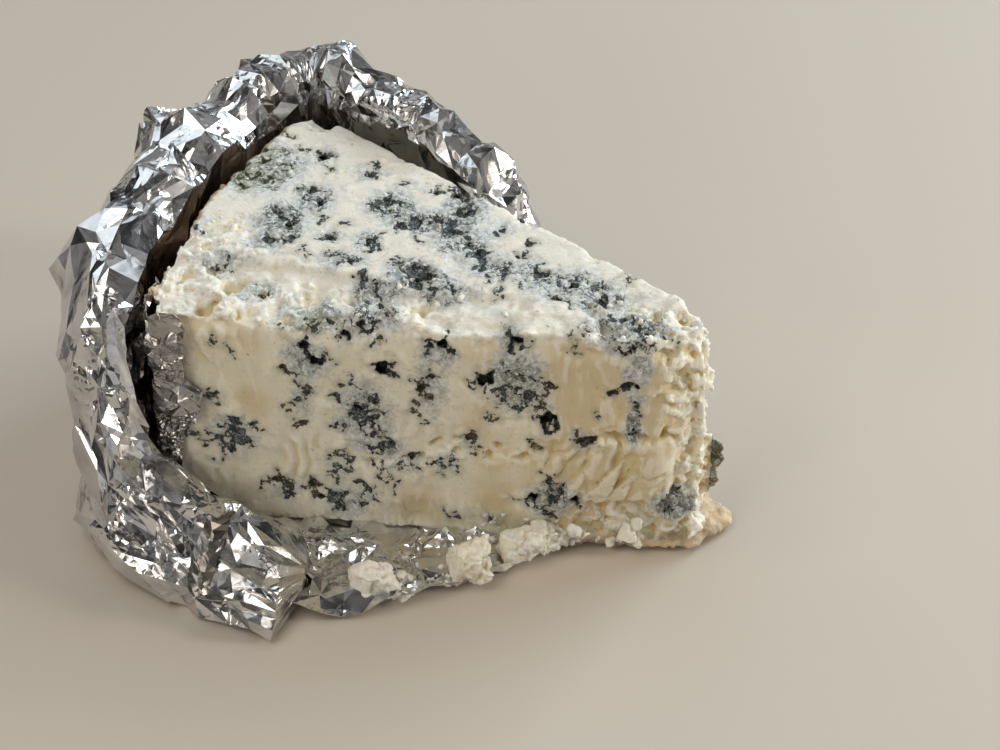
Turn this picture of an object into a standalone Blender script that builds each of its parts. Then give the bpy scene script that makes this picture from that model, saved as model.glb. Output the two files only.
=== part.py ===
"""A wedge of blue cheese standing in its opened foil wrapper, with three broken-off lumps on the foil.

The wedge is cut from half a wheel. It is laid out from the foot of its blunt tip: the front cut runs along -X,
the second cut opens behind it, and the curved rind closes the wide end. At the end every piece is shifted, so
that the origin is the middle of the whole object's base.
"""

import math

import bmesh
import bpy
from mathutils import Matrix, Vector, noise

MM = 0.001
NOISE_SEED = 5

# The wheel and the cut
WHEEL_RADIUS = 100 * MM
WEDGE_ANGLE = math.radians(33.5)
WEDGE_HEIGHT = 45 * MM
TIP_CUT = 12.7 * MM  # how far short of the wheel's centre the tip is broken off
CHEESE_FLOOR = 1.1 * MM  # underside where the foil lies below it
RAMP_START = -24 * MM  # the underside comes down to the table from here towards the tip
RAMP_END = -17 * MM
LIP_REACH = 6.0 * MM  # the foot of the tip splays out backwards as a lip of rind
LIP_HEIGHT = 12 * MM
CHEESE_VOXEL = 2.6 * MM

# The foil
FOIL_SHEET = 0.8 * MM
PATH_OFFSET = 12 * MM  # the collar's path lies this far outside the cheese
FRONT_RUN = 25 * MM  # straight stretch in front of the cheese
BACK_RUN = 52 * MM  # straight stretch along the back cut
COLLAR_STEPS = 64
CRUMPLE = 1.1 * MM
CORNER_LAYER_HEIGHT = 43.5 * MM
CORNER_LAYER_WIDTH = 7 * MM

# Shape of the collar along its way from the front end (0) to the tail (1), in millimetres:
# way, rim offset, rim height, shoulder offset, shoulder height, foot offset
COLLAR_STATIONS = (
    (0.00, 5.0, 7.0, 17.0, 8.0, 24.0),
    (0.07, 3.5, 9.0, 13.0, 11.0, 23.0),
    (0.14, 3.2, 17.0, 12.0, 16.0, 20.0),
    (0.20, 5.0, 30.0, 14.0, 27.0, 16.0),
    (0.26, 4.8, 43.0, 18.5, 36.0, 13.5),
    (0.35, 4.3, 46.5, 20.0, 41.0, 12.5),
    (0.50, 4.0, 47.5, 18.0, 46.0, 12.0),
    (0.62, 4.3, 49.0, 13.0, 50.5, 12.0),
    (0.70, 5.0, 50.0, 10.5, 52.5, 11.5),
    (0.80, 4.5, 48.0, 10.0, 50.0, 11.0),
    (0.90, 4.0, 43.0, 9.5, 45.0, 10.0),
    (1.00, 4.0, 24.0, 8.5, 25.0, 9.0),
)

# Broken-off lumps: middle of the foot, half sizes, seed
LUMPS = {
    "lump_square": ((-36.0, -10.2), (4.0, 3.4, 3.5), 3.1),
    "lump_flat": ((-51.0, -14.8), (4.2, 3.2, 2.7), 8.6),
    "lump_long": ((-26.6, -3.6), (6.8, 2.6, 2.5), 5.4),
}
LUMP_TURN = {"lump_square": 0.3, "lump_flat": 0.1, "lump_long": 0.12}
LUMP_FLOOR = 1.15 * MM
LUMP_ROUGHNESS = 0.24

WHEEL_CENTRE = Vector((TIP_CUT, 0))
BACK_CUT_DIRECTION = Vector((-math.cos(WEDGE_ANGLE), math.sin(WEDGE_ANGLE)))
BACK_CUT_NORMAL = Vector((math.sin(WEDGE_ANGLE), math.cos(WEDGE_ANGLE)))


def make_material(name, colour, roughness, metallic=0.0):
    material = bpy.data.materials.new(name)
    material.use_nodes = True
    shader = material.node_tree.nodes["Principled BSDF"]
    shader.inputs["Base Color"].default_value = (*colour, 1.0)
    shader.inputs["Roughness"].default_value = roughness
    shader.inputs["Metallic"].default_value = metallic
    return material


def link_mesh(name, mesh_data, material):
    """Makes a named object from a bmesh and gives it its material."""
    bmesh.ops.recalc_face_normals(mesh_data, faces=mesh_data.faces)
    mesh = bpy.data.meshes.new(name)
    mesh_data.to_mesh(mesh)
    mesh_data.free()
    mesh.materials.append(material)
    made = bpy.data.objects.new(name, mesh)
    bpy.context.scene.collection.objects.link(made)
    return made


def apply_modifiers(made):
    """Replaces the object's mesh with the one its modifiers give."""
    graph = bpy.context.evaluated_depsgraph_get()
    finished = bpy.data.meshes.new_from_object(made.evaluated_get(graph))
    made.modifiers.clear()
    made.data = finished


def smooth_step(low, high, value):
    share = min(1.0, max(0.0, (value - low) / (high - low)))
    return share * share * (3 - 2 * share)


def polygon_prism(outline, low, high):
    """A prism over an outline of (x, y) points."""
    mesh_data = bmesh.new()
    corners = [mesh_data.verts.new((x, y, low)) for x, y in outline]
    face = mesh_data.faces.new(corners)
    raised = bmesh.ops.extrude_face_region(mesh_data, geom=[face])
    top = [v for v in raised["geom"] if isinstance(v, bmesh.types.BMVert)]
    bmesh.ops.translate(mesh_data, verts=top, vec=(0, 0, high - low))
    return mesh_data


# The cheese


def wedge_outline(arc_steps=24):
    """The wedge seen from above, from the front of the tip round by the back cut and the rind."""
    tip_back = WHEEL_CENTRE + BACK_CUT_DIRECTION * (TIP_CUT / math.cos(WEDGE_ANGLE))
    outline = [Vector((0, 0)), tip_back]
    for step in range(arc_steps + 1):
        angle = math.pi - WEDGE_ANGLE * (1 - step / arc_steps)
        outline.append(WHEEL_CENTRE + WHEEL_RADIUS * Vector((math.cos(angle), math.sin(angle))))
    return outline


def cheese_underside(x):
    """Height of the cheese's underside: on the foil at the rind, down on the table at the tip."""
    return CHEESE_FLOOR * (1 - smooth_step(RAMP_START, RAMP_END, x))


def wear_cheese(mesh_data):
    """Breaks the front top edge and the tip, and splays the foot of the tip into a lip."""
    for vert in mesh_data.verts:
        place = vert.co.copy()
        height = place.z / WEDGE_HEIGHT
        tip = smooth_step(-22 * MM, 0, place.x)
        low = 1 - smooth_step(0, LIP_HEIGHT, place.z)
        splay = 0.15 + 0.85 * smooth_step(0, 8 * MM, place.y)
        vert.co.x += tip * (LIP_REACH * low * splay - 1.6 * MM * height)
        vert.co.y += 1.0 * MM * tip * low * (1 - smooth_step(0, 6 * MM, place.y))
        top_edge = smooth_step(36 * MM, 45 * MM, place.z) * (1 - smooth_step(0, 7 * MM, place.y))
        ragged = 0.5 + 0.5 * noise.noise(place / (7 * MM))
        vert.co.y += top_edge * 1.6 * MM * ragged
        vert.co.z -= top_edge * 1.8 * MM * ragged
        crumble = (0.25 + 0.55 * tip) * MM * noise.noise(place / (5 * MM) + Vector((9, 2, 4)))
        if place.z > 3 * MM:
            vert.co += vert.normal * crumble
    for vert in mesh_data.verts:
        floor = cheese_underside(vert.co.x)
        if vert.co.z < CHEESE_FLOOR + 0.6 * MM:
            vert.co.z = floor
        vert.co.z = max(vert.co.z, floor)


def make_cheese(material):
    """The wedge, evenly remeshed so that its edges can be worn."""
    cheese = link_mesh("cheese", polygon_prism(wedge_outline(), CHEESE_FLOOR, WEDGE_HEIGHT), material)
    remesh = cheese.modifiers.new("even", "REMESH")
    remesh.mode = "VOXEL"
    remesh.voxel_size = CHEESE_VOXEL
    apply_modifiers(cheese)
    mesh_data = bmesh.new()
    mesh_data.from_mesh(cheese.data)
    mesh_data.normal_update()
    wear_cheese(mesh_data)
    mesh_data.to_mesh(cheese.data)
    mesh_data.free()
    cheese.data.shade_smooth()
    return cheese


# The foil


def collar_path(steps):
    """Points outside the cheese, each with its outward direction, at even spacing:
    in front of the wedge, round its left corner, along the rind, round the back corner, along the back cut."""
    left_corner = WHEEL_CENTRE - Vector((WHEEL_RADIUS, 0))
    back_corner = WHEEL_CENTRE + WHEEL_RADIUS * BACK_CUT_DIRECTION
    corner_turn = PATH_OFFSET * math.pi / 2
    rind_run = (WHEEL_RADIUS + PATH_OFFSET) * WEDGE_ANGLE
    runs = (FRONT_RUN, corner_turn, rind_run, corner_turn, BACK_RUN)
    points = []
    for step in range(steps + 1):
        along = sum(runs) * step / steps
        part = 0
        while part < 4 and along > runs[part]:
            along -= runs[part]
            part += 1
        share = min(1.0, along / runs[part])
        if part == 0:
            foot, outward = left_corner + Vector((FRONT_RUN * (1 - share), 0)), Vector((0, -1))
        elif part == 1:
            angle = -math.pi / 2 * (1 + share)
            foot, outward = left_corner, Vector((math.cos(angle), math.sin(angle)))
        elif part == 2:
            angle = math.pi - WEDGE_ANGLE * share
            outward = Vector((math.cos(angle), math.sin(angle)))
            foot = WHEEL_CENTRE + WHEEL_RADIUS * outward
        elif part == 3:
            angle = math.pi - WEDGE_ANGLE - math.pi / 2 * share
            foot, outward = back_corner, Vector((math.cos(angle), math.sin(angle)))
        else:
            foot, outward = back_corner - BACK_CUT_DIRECTION * BACK_RUN * share, BACK_CUT_NORMAL
        points.append((foot, outward))
    return points


def station(way):
    """The collar's sizes at a share of its way, between the two stations it lies between."""
    for before, after in zip(COLLAR_STATIONS, COLLAR_STATIONS[1:]):
        if way <= after[0]:
            share = smooth_step(before[0], after[0], way)
            return [(a + (b - a) * share) * MM for a, b in zip(before[1:], after[1:])]
    return [size * MM for size in COLLAR_STATIONS[-1][1:]]


def collar_section(way):
    """Offset from the cheese and height of each corner of the collar's section, from the inner foot
    up the inner wall, over the rim and the shoulder, and down the outer wall."""
    rim_out, rim_up, shoulder_out, shoulder_up, foot_out = station(way)
    inner = 1.5 * MM
    belly_out = max(foot_out, 0.35 * foot_out + 0.7 * shoulder_out)
    middle = (rim_out + shoulder_out) / 2
    return (
        (inner, 0),
        (inner, 0.3 * rim_up),
        ((inner + rim_out) / 2, 0.65 * rim_up),
        (rim_out, rim_up),
        (middle, (rim_up + shoulder_up) / 2 + 1.0 * MM),
        (shoulder_out, shoulder_up),
        (0.4 * shoulder_out + 0.6 * belly_out, 0.8 * shoulder_up),
        (belly_out, 0.55 * shoulder_up),
        (0.7 * belly_out + 0.3 * foot_out, 0.35 * shoulder_up),
        (0.3 * belly_out + 0.7 * foot_out, 0.15 * shoulder_up),
        (foot_out, 0),
    )


def make_collar():
    """The section carried along the path by extruding its face, then crumpled above the table."""
    path = collar_path(COLLAR_STEPS)
    mesh_data = bmesh.new()
    face = None
    for step, (foot, outward) in enumerate(path):
        section = collar_section(step / COLLAR_STEPS)
        places = [(*(foot + outward * out), up) for out, up in section]
        if face is None:
            face = mesh_data.faces.new([mesh_data.verts.new(place) for place in places])
            continue
        carried = bmesh.ops.extrude_face_region(mesh_data, geom=[face])
        if step > 1:  # the first face stays as the front end's cap
            bmesh.ops.delete(mesh_data, geom=[face], context="FACES_ONLY")
        face = next(f for f in carried["geom"] if isinstance(f, bmesh.types.BMFace))
        for vert, place in zip(face.verts, places):
            vert.co = place
    bmesh.ops.triangulate(mesh_data, faces=mesh_data.faces)
    for vert in mesh_data.verts:
        lift = smooth_step(0, 6 * MM, vert.co.z)
        shift = noise.noise_vector(vert.co / (4.5 * MM)) * CRUMPLE
        vert.co += shift * lift
    return mesh_data


def sheet_outline():
    """The foil on the table: under the wedge, with an apron in front and its sides inside the collar."""
    inside_collar = 6 * MM
    outline = [foot + outward * inside_collar for foot, outward in collar_path(24)]
    apron = [(-26, 14), (-26, 2), (-28, -4), (-31, -9.5), (-37, -13.5), (-46, -17.5), (-54, -21), (-66, -22)]
    return [(x * MM, y * MM) for x, y in apron] + [(p.x, p.y) for p in outline]


def corner_layer_outline():
    """A thin inner layer of foil that hugs the wedge's left corner, as an L seen from above."""
    gap, thick = 0.35 * MM, 0.8 * MM
    left = TIP_CUT - WHEEL_RADIUS
    side = 9 * MM
    lean = side * side / (2 * WHEEL_RADIUS)  # the rind curves in by this much over the layer's length
    return (
        (left + CORNER_LAYER_WIDTH, -gap),
        (left - gap, -gap),
        (left - gap + lean, side),
        (left - gap - thick + lean, side),
        (left - gap - thick, -gap - thick),
        (left + CORNER_LAYER_WIDTH, -gap - thick),
    )


def make_foil(material):
    """Collar, sheet and corner layer joined into one solid."""
    foil = link_mesh("foil_wrap", make_collar(), material)
    parts = (
        link_mesh("sheet_guide", polygon_prism(sheet_outline(), 0, FOIL_SHEET), material),
        link_mesh("corner_guide", polygon_prism(corner_layer_outline(), 0.2 * MM, CORNER_LAYER_HEIGHT), material),
    )
    for part in parts:
        union = foil.modifiers.new(part.name, "BOOLEAN")
        union.operation = "UNION"
        union.solver = "EXACT"
        union.object = part
    apply_modifiers(foil)
    for part in parts:
        bpy.data.objects.remove(part)
    return foil


# The lumps


def make_lump(name, material):
    """A broken-off piece of cheese: a ball pressed to its half sizes, cut rough, with a flat foot."""
    (x, y), half, seed = LUMPS[name]
    mesh_data = bmesh.new()
    bmesh.ops.create_icosphere(mesh_data, subdivisions=3, radius=1.0)
    for vert in mesh_data.verts:
        rough = noise.noise(vert.co * 1.5 + Vector((seed, 0, 0)))
        rough += 0.5 * noise.noise(vert.co * 3.4 + Vector((0, seed, 0)))
        vert.co *= 1 + LUMP_ROUGHNESS * rough
        squared = max(abs(vert.co.x), abs(vert.co.y), abs(vert.co.z)) / vert.co.length
        vert.co *= 1 / (0.45 + 0.55 * squared)
        vert.co = Vector(vert.co[i] * half[i] * MM * 0.86 for i in range(3))
        vert.co.z = max(0, vert.co.z + half[2] * MM * 0.8)
    bmesh.ops.rotate(mesh_data, verts=mesh_data.verts, matrix=Matrix.Rotation(LUMP_TURN[name], 3, "Z"))
    bmesh.ops.translate(mesh_data, verts=mesh_data.verts, vec=(x * MM, y * MM, LUMP_FLOOR))
    lump = link_mesh(name, mesh_data, material)
    lump.data.shade_smooth()
    return lump


def centre_on_base(pieces):
    """Shifts every mesh so that the origin is the middle of the whole object's base."""
    corners = [vert.co for piece in pieces for vert in piece.data.vertices]
    low = Vector(min(corner[i] for corner in corners) for i in range(3))
    high = Vector(max(corner[i] for corner in corners) for i in range(3))
    shift = Vector((-(low.x + high.x) / 2, -(low.y + high.y) / 2, -low.z))
    for piece in pieces:
        for vert in piece.data.vertices:
            vert.co += shift
        piece.data.update()
    print("the foot of the tip is at", [round(value / MM, 2) for value in shift])
    print("the object measures", [round(value / MM, 2) for value in high - low])


def main():
    for old in list(bpy.data.objects):
        bpy.data.objects.remove(old)
    noise.seed_set(NOISE_SEED)
    paste = make_material("cheese", (0.86, 0.79, 0.62), 0.5)
    metal = make_material("foil", (0.83, 0.83, 0.84), 0.25, 1.0)
    pieces = [make_cheese(paste), make_foil(metal)]
    pieces += [make_lump(name, paste) for name in LUMPS]
    centre_on_base(pieces)


main()
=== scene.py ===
import math
import random

import bmesh
import bpy
from mathutils import Matrix, Vector, noise
from mathutils.bvhtree import BVHTree


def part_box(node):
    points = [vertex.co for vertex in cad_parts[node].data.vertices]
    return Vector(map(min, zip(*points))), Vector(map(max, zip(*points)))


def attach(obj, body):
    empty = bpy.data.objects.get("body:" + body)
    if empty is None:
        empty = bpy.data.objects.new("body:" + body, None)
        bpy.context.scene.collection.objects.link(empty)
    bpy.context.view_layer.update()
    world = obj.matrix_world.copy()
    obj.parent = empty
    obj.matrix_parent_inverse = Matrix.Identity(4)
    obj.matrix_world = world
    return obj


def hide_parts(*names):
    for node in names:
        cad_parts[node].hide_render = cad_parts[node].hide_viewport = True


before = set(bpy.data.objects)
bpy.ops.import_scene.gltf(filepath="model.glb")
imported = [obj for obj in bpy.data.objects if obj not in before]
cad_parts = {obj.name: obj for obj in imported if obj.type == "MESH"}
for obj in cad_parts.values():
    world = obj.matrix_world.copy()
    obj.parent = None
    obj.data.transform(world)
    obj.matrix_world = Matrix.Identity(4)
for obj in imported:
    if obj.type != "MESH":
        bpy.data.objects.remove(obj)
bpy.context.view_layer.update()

# A wedge of blue cheese in its opened foil. Every piece is made in millimetres from the foot of the wedge's tip:
# x runs along the front cut towards the tip, y goes back from the front cut, z is up.

mm = 0.001
noise.seed_set(11)

wedge = {
    "wheelRadius": 100.0,
    "angle": math.radians(33.5),
    "height": 45.0,
    "tipCut": 12.7,  # the tip is broken off this far from the wheel's middle
    "foilUnder": 1.1,  # the rind end stands on the foil
    "rampStart": -24.0,  # from here the underside comes down to the table
    "rampEnd": -17.0,
}
leftCorner = wedge["tipCut"] - wedge["wheelRadius"]
wheelMiddle = Vector((wedge["tipCut"], 0.0, 0.0))
backCutWay = Vector((-math.cos(wedge["angle"]), math.sin(wedge["angle"]), 0.0))
backCutNormal = Vector((math.sin(wedge["angle"]), math.cos(wedge["angle"]), 0.0))
backCorner = wheelMiddle + backCutWay * wedge["wheelRadius"]
cheeseLow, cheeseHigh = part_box("cheese")
tipFoot = Vector((cheeseLow.x - leftCorner * mm, cheeseLow.y, 0.0))
toFrame = Matrix.Translation(tipFoot) @ Matrix.Scale(mm, 4)


def smoothStep(low, high, value):
    share = min(1.0, max(0.0, (value - low) / (high - low)))
    return share * share * (3 - 2 * share)


def mixed(a, b, share):
    return a + (b - a) * share


# materials

def addNode(tree, kind, settings=None, inputs=None):
    made = tree.nodes.new(kind)
    for name, value in (settings or {}).items():
        setattr(made, name, value)
    for name, value in (inputs or {}).items():
        if isinstance(value, bpy.types.NodeSocket):
            tree.links.new(value, made.inputs[name])
        else:
            made.inputs[name].default_value = value
    return made


def newMaterial(name):
    material = bpy.data.materials.new(name)
    material.use_nodes = True
    tree = material.node_tree
    shader = tree.nodes["Principled BSDF"]
    place = addNode(tree, "ShaderNodeTexCoord").outputs["Object"]
    inMillimetres = addNode(tree, "ShaderNodeMapping", inputs={"Vector": place, "Scale": (1000, 1000, 1000)})
    return material, tree, shader, inMillimetres.outputs["Vector"]


def noiseAt(tree, place, size, detail=4.0, roughness=0.55, stretch=None, output="Fac"):
    # size is the pattern's coarsest grain in millimetres
    if stretch:
        place = addNode(tree, "ShaderNodeMapping", inputs={"Vector": place, "Scale": stretch}).outputs["Vector"]
    made = addNode(tree, "ShaderNodeTexNoise", inputs={
        "Vector": place, "Scale": 1.0 / size, "Detail": detail, "Roughness": roughness})
    return made.outputs[output]


def calc(tree, operation, a, b=0.0, c=0.0):
    return addNode(tree, "ShaderNodeMath", {"operation": operation}, {0: a, 1: b, 2: c}).outputs[0]


def ramp(tree, value, low, high, toLow=0.0, toHigh=1.0):
    made = addNode(tree, "ShaderNodeMapRange", {"interpolation_type": "SMOOTHSTEP"}, {
        "Value": value, "From Min": low, "From Max": high, "To Min": toLow, "To Max": toHigh})
    return made.outputs["Result"]


def blendColours(tree, share, a, b, kind="MIX"):
    made = addNode(tree, "ShaderNodeMix", {"data_type": "RGBA", "blend_type": kind})
    for index, value in ((0, share), (6, a), (7, b)):
        if isinstance(value, bpy.types.NodeSocket):
            tree.links.new(value, made.inputs[index])
        else:
            made.inputs[index].default_value = (*value, 1.0) if isinstance(value, tuple) else value
    return made.outputs[2]


def bump(tree, height, distance, strength=1.0, under=None):
    inputs = {"Height": height, "Distance": distance * mm, "Strength": strength}
    if under is not None:
        inputs["Normal"] = under
    return addNode(tree, "ShaderNodeBump", inputs=inputs).outputs["Normal"]


# pieces

def finishPiece(name, bm, material, replaced=(), sharpFrom=None):
    bmesh.ops.transform(bm, matrix=toFrame, verts=bm.verts)
    mesh = bpy.data.meshes.new(name)
    bm.to_mesh(mesh)
    bm.free()
    mesh.materials.append(material)
    mesh.shade_smooth()
    if sharpFrom:
        mesh.set_sharp_from_angle(angle=math.radians(sharpFrom))
    piece = bpy.data.objects.new(name, mesh)
    bpy.context.scene.collection.objects.link(piece)
    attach(piece, "root")
    if replaced:
        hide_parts(*replaced)
    print(f"{name}: {sum(len(face.vertices) - 2 for face in mesh.polygons)} triangles")
    return piece


def writeMap(piece, name, values):
    # four numbers a point, read by the materials as a colour and its alpha
    layer = piece.data.attributes.new(name, "FLOAT_COLOR", "POINT")
    flat = [number for value in values for number in (*value, 1.0)[:4]]
    layer.data.foreach_set("color", flat)


def modified(bm, kind, settings, maps=None):
    # passes bm, with its maps if there are any, through one modifier
    raw = bpy.data.objects.new("raw", bpy.data.meshes.new("raw"))
    bm.to_mesh(raw.data)
    bm.free()
    for name, values in (maps or {}).items():
        writeMap(raw, name, values)
    bpy.context.scene.collection.objects.link(raw)
    modifier = raw.modifiers.new("made", kind)
    for name, value in settings.items():
        setattr(modifier, name, value)
    graph = bpy.context.evaluated_depsgraph_get()
    made = bmesh.new()
    made.from_mesh(raw.evaluated_get(graph).to_mesh())
    bpy.data.objects.remove(raw)
    made.normal_update()
    return made


def remeshed(bm, voxel):
    # one even skin over everything in bm
    return modified(bm, "REMESH", {"mode": "VOXEL", "voxel_size": voxel})


# the cheese

cheese = {
    "coarseVoxel": 0.65,
    "fineVoxel": 0.36,
    "mostTriangles": 196000,
    "slabSize": 5.5,
    "slabStep": 2.0,
    "crumbSize": 3.0,
    "crumbStep": 1.7,
    "grainSize": 1.1,
    "grainStep": 0.62,
    "lipReach": 6.0,
    "ledgeDrop": 1.3,
    "rindBulge": 1.3,
}

# mould on the front cut, each a blot (middle along x, height, radius) that grows twigs around itself
frontBlots = {
    "blue": (
        (-77.6, 17.0, 1.5), (-74.2, 18.3, 1.7), (-75.4, 22.3, 1.0), (-72.3, 21.3, 0.6), (-80.2, 17.0, 0.6),
        (-75.8, 20.2, 0.8), (-79.6, 27.0, 0.5), (-78.2, 26.6, 0.5), (-82.7, 19.2, 0.8), (-55.8, 31.5, 0.9),
        (-58.0, 28.7, 0.9), (-55.0, 25.6, 1.7), (-53.6, 23.6, 1.0), (-52.0, 28.2, 1.0), (-52.4, 24.6, 0.9),
        (-52.1, 21.1, 0.9), (-57.3, 23.0, 0.7), (-50.9, 18.4, 1.3), (-49.2, 19.2, 0.8), (-58.8, 16.9, 0.5),
        (-58.9, 6.0, 1.5), (-58.2, 3.8, 1.0), (-53.5, 9.2, 1.3), (-54.5, 5.9, 0.6), (-52.6, 7.4, 0.5),
        (-71.4, 8.5, 0.7), (-67.3, 6.4, 0.9), (-58.4, 13.4, 0.45), (-56.6, 14.6, 0.4), (-51.9, 14.0, 0.4),
        (-31.4, 30.3, 0.8), (-29.5, 33.0, 0.8), (-29.3, 28.8, 0.8), (-27.1, 31.6, 0.9), (-32.6, 32.0, 0.7),
        (-25.9, 29.2, 0.7), (-30.6, 36.6, 0.6), (-28.0, 35.0, 0.7), (-24.1, 14.2, 1.1), (-23.4, 9.7, 1.0),
        (-24.3, 6.6, 0.9), (-22.4, 12.0, 0.8), (-40.4, 4.6, 0.6), (-5.4, 9.8, 0.6), (-3.2, 12.6, 0.5),
        (-33.3, 4.4, 0.5), (-14.2, 43.4, 0.8), (-8.2, 43.8, 0.6),
    ),
    "brown": (
        (-65.4, 26.3, 0.6), (-63.8, 22.0, 0.7), (-69.0, 9.6, 1.2), (-66.9, 8.4, 0.8), (-62.7, 8.6, 1.6),
        (-61.4, 6.2, 0.8), (-46.2, 16.7, 1.2), (-48.2, 14.9, 0.7), (-44.4, 31.6, 1.1), (-43.2, 34.4, 0.8),
        (-43.0, 29.4, 0.5), (-45.9, 28.0, 0.5), (-36.6, 22.1, 1.0), (-36.4, 20.0, 0.6), (-24.5, 34.2, 1.0),
        (-24.9, 30.3, 0.6), (-33.5, 26.9, 0.5), (-18.7, 22.6, 1.5), (-25.4, 20.8, 0.5), (-66.1, 33.4, 0.9),
        (-20.7, 42.8, 0.6), (-19.4, 44.2, 0.5), (-63.4, 30.0, 0.4), (-58.8, 36.9, 0.4),
    ),
    "thin": (
        (-74.8, 36.4, 0.35), (-75.8, 38.0, 0.25), (-76.8, 39.5, 0.25), (-63.6, 28.0, 0.4), (-59.0, 11.6, 0.35),
        (-57.4, 12.8, 0.35), (-39.4, 18.0, 0.4), (-42.0, 16.6, 0.4), (-40.9, 14.8, 0.4), (-38.8, 16.0, 0.35),
        (-43.6, 25.6, 0.4), (-36.2, 33.4, 0.4), (-35.4, 35.6, 0.35), (-17.0, 29.6, 0.3), (-10.4, 31.0, 0.4),
        (-10.6, 25.0, 0.5), (-26.8, 21.2, 0.3), (-50.4, 13.0, 0.4), (-49.0, 11.0, 0.35), (-78.0, 12.4, 0.25),
    ),
    "hole": (
        (-50.8, 35.7, 1.5), (-54.2, 42.6, 1.5), (-56.3, 41.0, 0.9), (-52.3, 42.1, 0.9), (-41.4, 40.9, 1.4),
        (-43.2, 40.6, 0.7), (-39.6, 39.6, 0.6), (-29.9, 42.3, 1.7), (-28.6, 41.0, 0.7), (-34.6, 33.6, 1.2),
        (-24.1, 27.2, 1.6), (-26.6, 10.2, 1.6), (-20.3, 10.1, 1.3), (-60.8, 35.8, 1.7), (-62.9, 38.6, 1.1),
        (-24.2, 14.4, 0.9), (-54.6, 25.9, 1.0),
    ),
    "slot": ((-10.7, 42.6, 2.0), (-8.6, 42.8, 0.8), (-11.1, 35.4, 2.3)),
}

# mould on the top (middle along x, middle along y, radius)
topBlots = {
    "blue": (
        (-53.9, 31.2, 1.6), (-55.6, 29.5, 1.0), (-52.6, 28.0, 1.0), (-51.0, 25.3, 1.2), (-48.2, 26.2, 1.2),
        (-45.2, 27.1, 1.2), (-43.0, 25.2, 1.4), (-42.0, 35.7, 1.3), (-40.9, 33.0, 1.4), (-40.6, 29.4, 1.7),
        (-42.0, 23.5, 1.5), (-39.4, 21.0, 1.0), (-37.6, 18.7, 1.3), (-46.0, 34.6, 0.8), (-70.4, 24.8, 1.2),
        (-68.8, 22.8, 1.2), (-71.6, 26.2, 0.7), (-71.1, 18.6, 1.2), (-68.6, 19.0, 0.9), (-66.8, 33.0, 1.4),
        (-64.9, 29.2, 1.2), (-62.1, 20.7, 1.4), (-55.6, 19.8, 1.5), (-60.9, 15.8, 1.0), (-58.0, 14.8, 1.0),
        (-55.0, 11.3, 0.9), (-46.9, 13.5, 1.8), (-45.3, 12.2, 1.2), (-46.1, 10.2, 1.3), (-51.6, 7.6, 1.2),
        (-43.2, 9.6, 1.0), (-40.6, 9.0, 0.8), (-36.8, 15.7, 1.1), (-33.2, 15.2, 0.9), (-30.7, 18.7, 0.8),
        (-27.2, 14.9, 1.3), (-24.2, 13.6, 0.9), (-21.4, 12.3, 1.2), (-23.4, 8.5, 1.0), (-17.4, 12.6, 0.9),
        (-17.2, 9.0, 1.1), (-13.8, 5.0, 1.2), (-11.4, 3.4, 0.9), (-9.0, 2.3, 1.1), (-33.0, 9.9, 0.9),
        (-79.1, 12.7, 0.7), (-77.2, 13.4, 0.5), (-52.2, 2.4, 1.1), (-49.8, 3.4, 0.8), (-57.8, 38.3, 1.0),
        (-50.2, 16.4, 0.6), (-34.6, 25.4, 0.8), (-29.6, 22.4, 0.7), (-6.0, 3.0, 0.7), (-63.6, 25.2, 0.5),
    ),
    "green": (
        (-79.6, 38.1, 1.0), (-76.9, 35.7, 1.1), (-74.2, 34.9, 0.9), (-76.2, 42.6, 0.9), (-81.6, 34.4, 0.9),
        (-78.8, 33.0, 0.7), (-73.7, 47.0, 0.7), (-76.0, 40.0, 0.7), (-72.4, 38.6, 0.5), (-78.2, 36.0, 0.5),
        (-70.6, 43.6, 0.5), (-79.0, 35.4, 0.6), (-61.0, 1.6, 1.5), (-63.0, 3.6, 1.0), (-65.3, 2.0, 0.9),
        (-58.8, 3.0, 1.2), (-70.4, 7.2, 0.9), (-65.2, 38.4, 0.6),
    ),
    "hole": ((-66.6, 42.9, 1.2), (-42.4, 34.6, 0.9), (-39.2, 34.9, 0.8), (-51.4, 6.9, 1.0), (-46.4, 11.6, 1.1)),
    "thin": (
        (-57.6, 40.8, 0.35), (-51.6, 35.7, 0.4), (-73.4, 9.8, 0.35), (-83.0, 21.0, 0.3), (-60.4, 24.0, 0.35),
        (-47.6, 21.0, 0.4), (-35.6, 12.8, 0.35), (-66.0, 15.6, 0.35), (-14.4, 8.6, 0.35), (-29.6, 11.8, 0.4),
    ),
}

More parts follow.
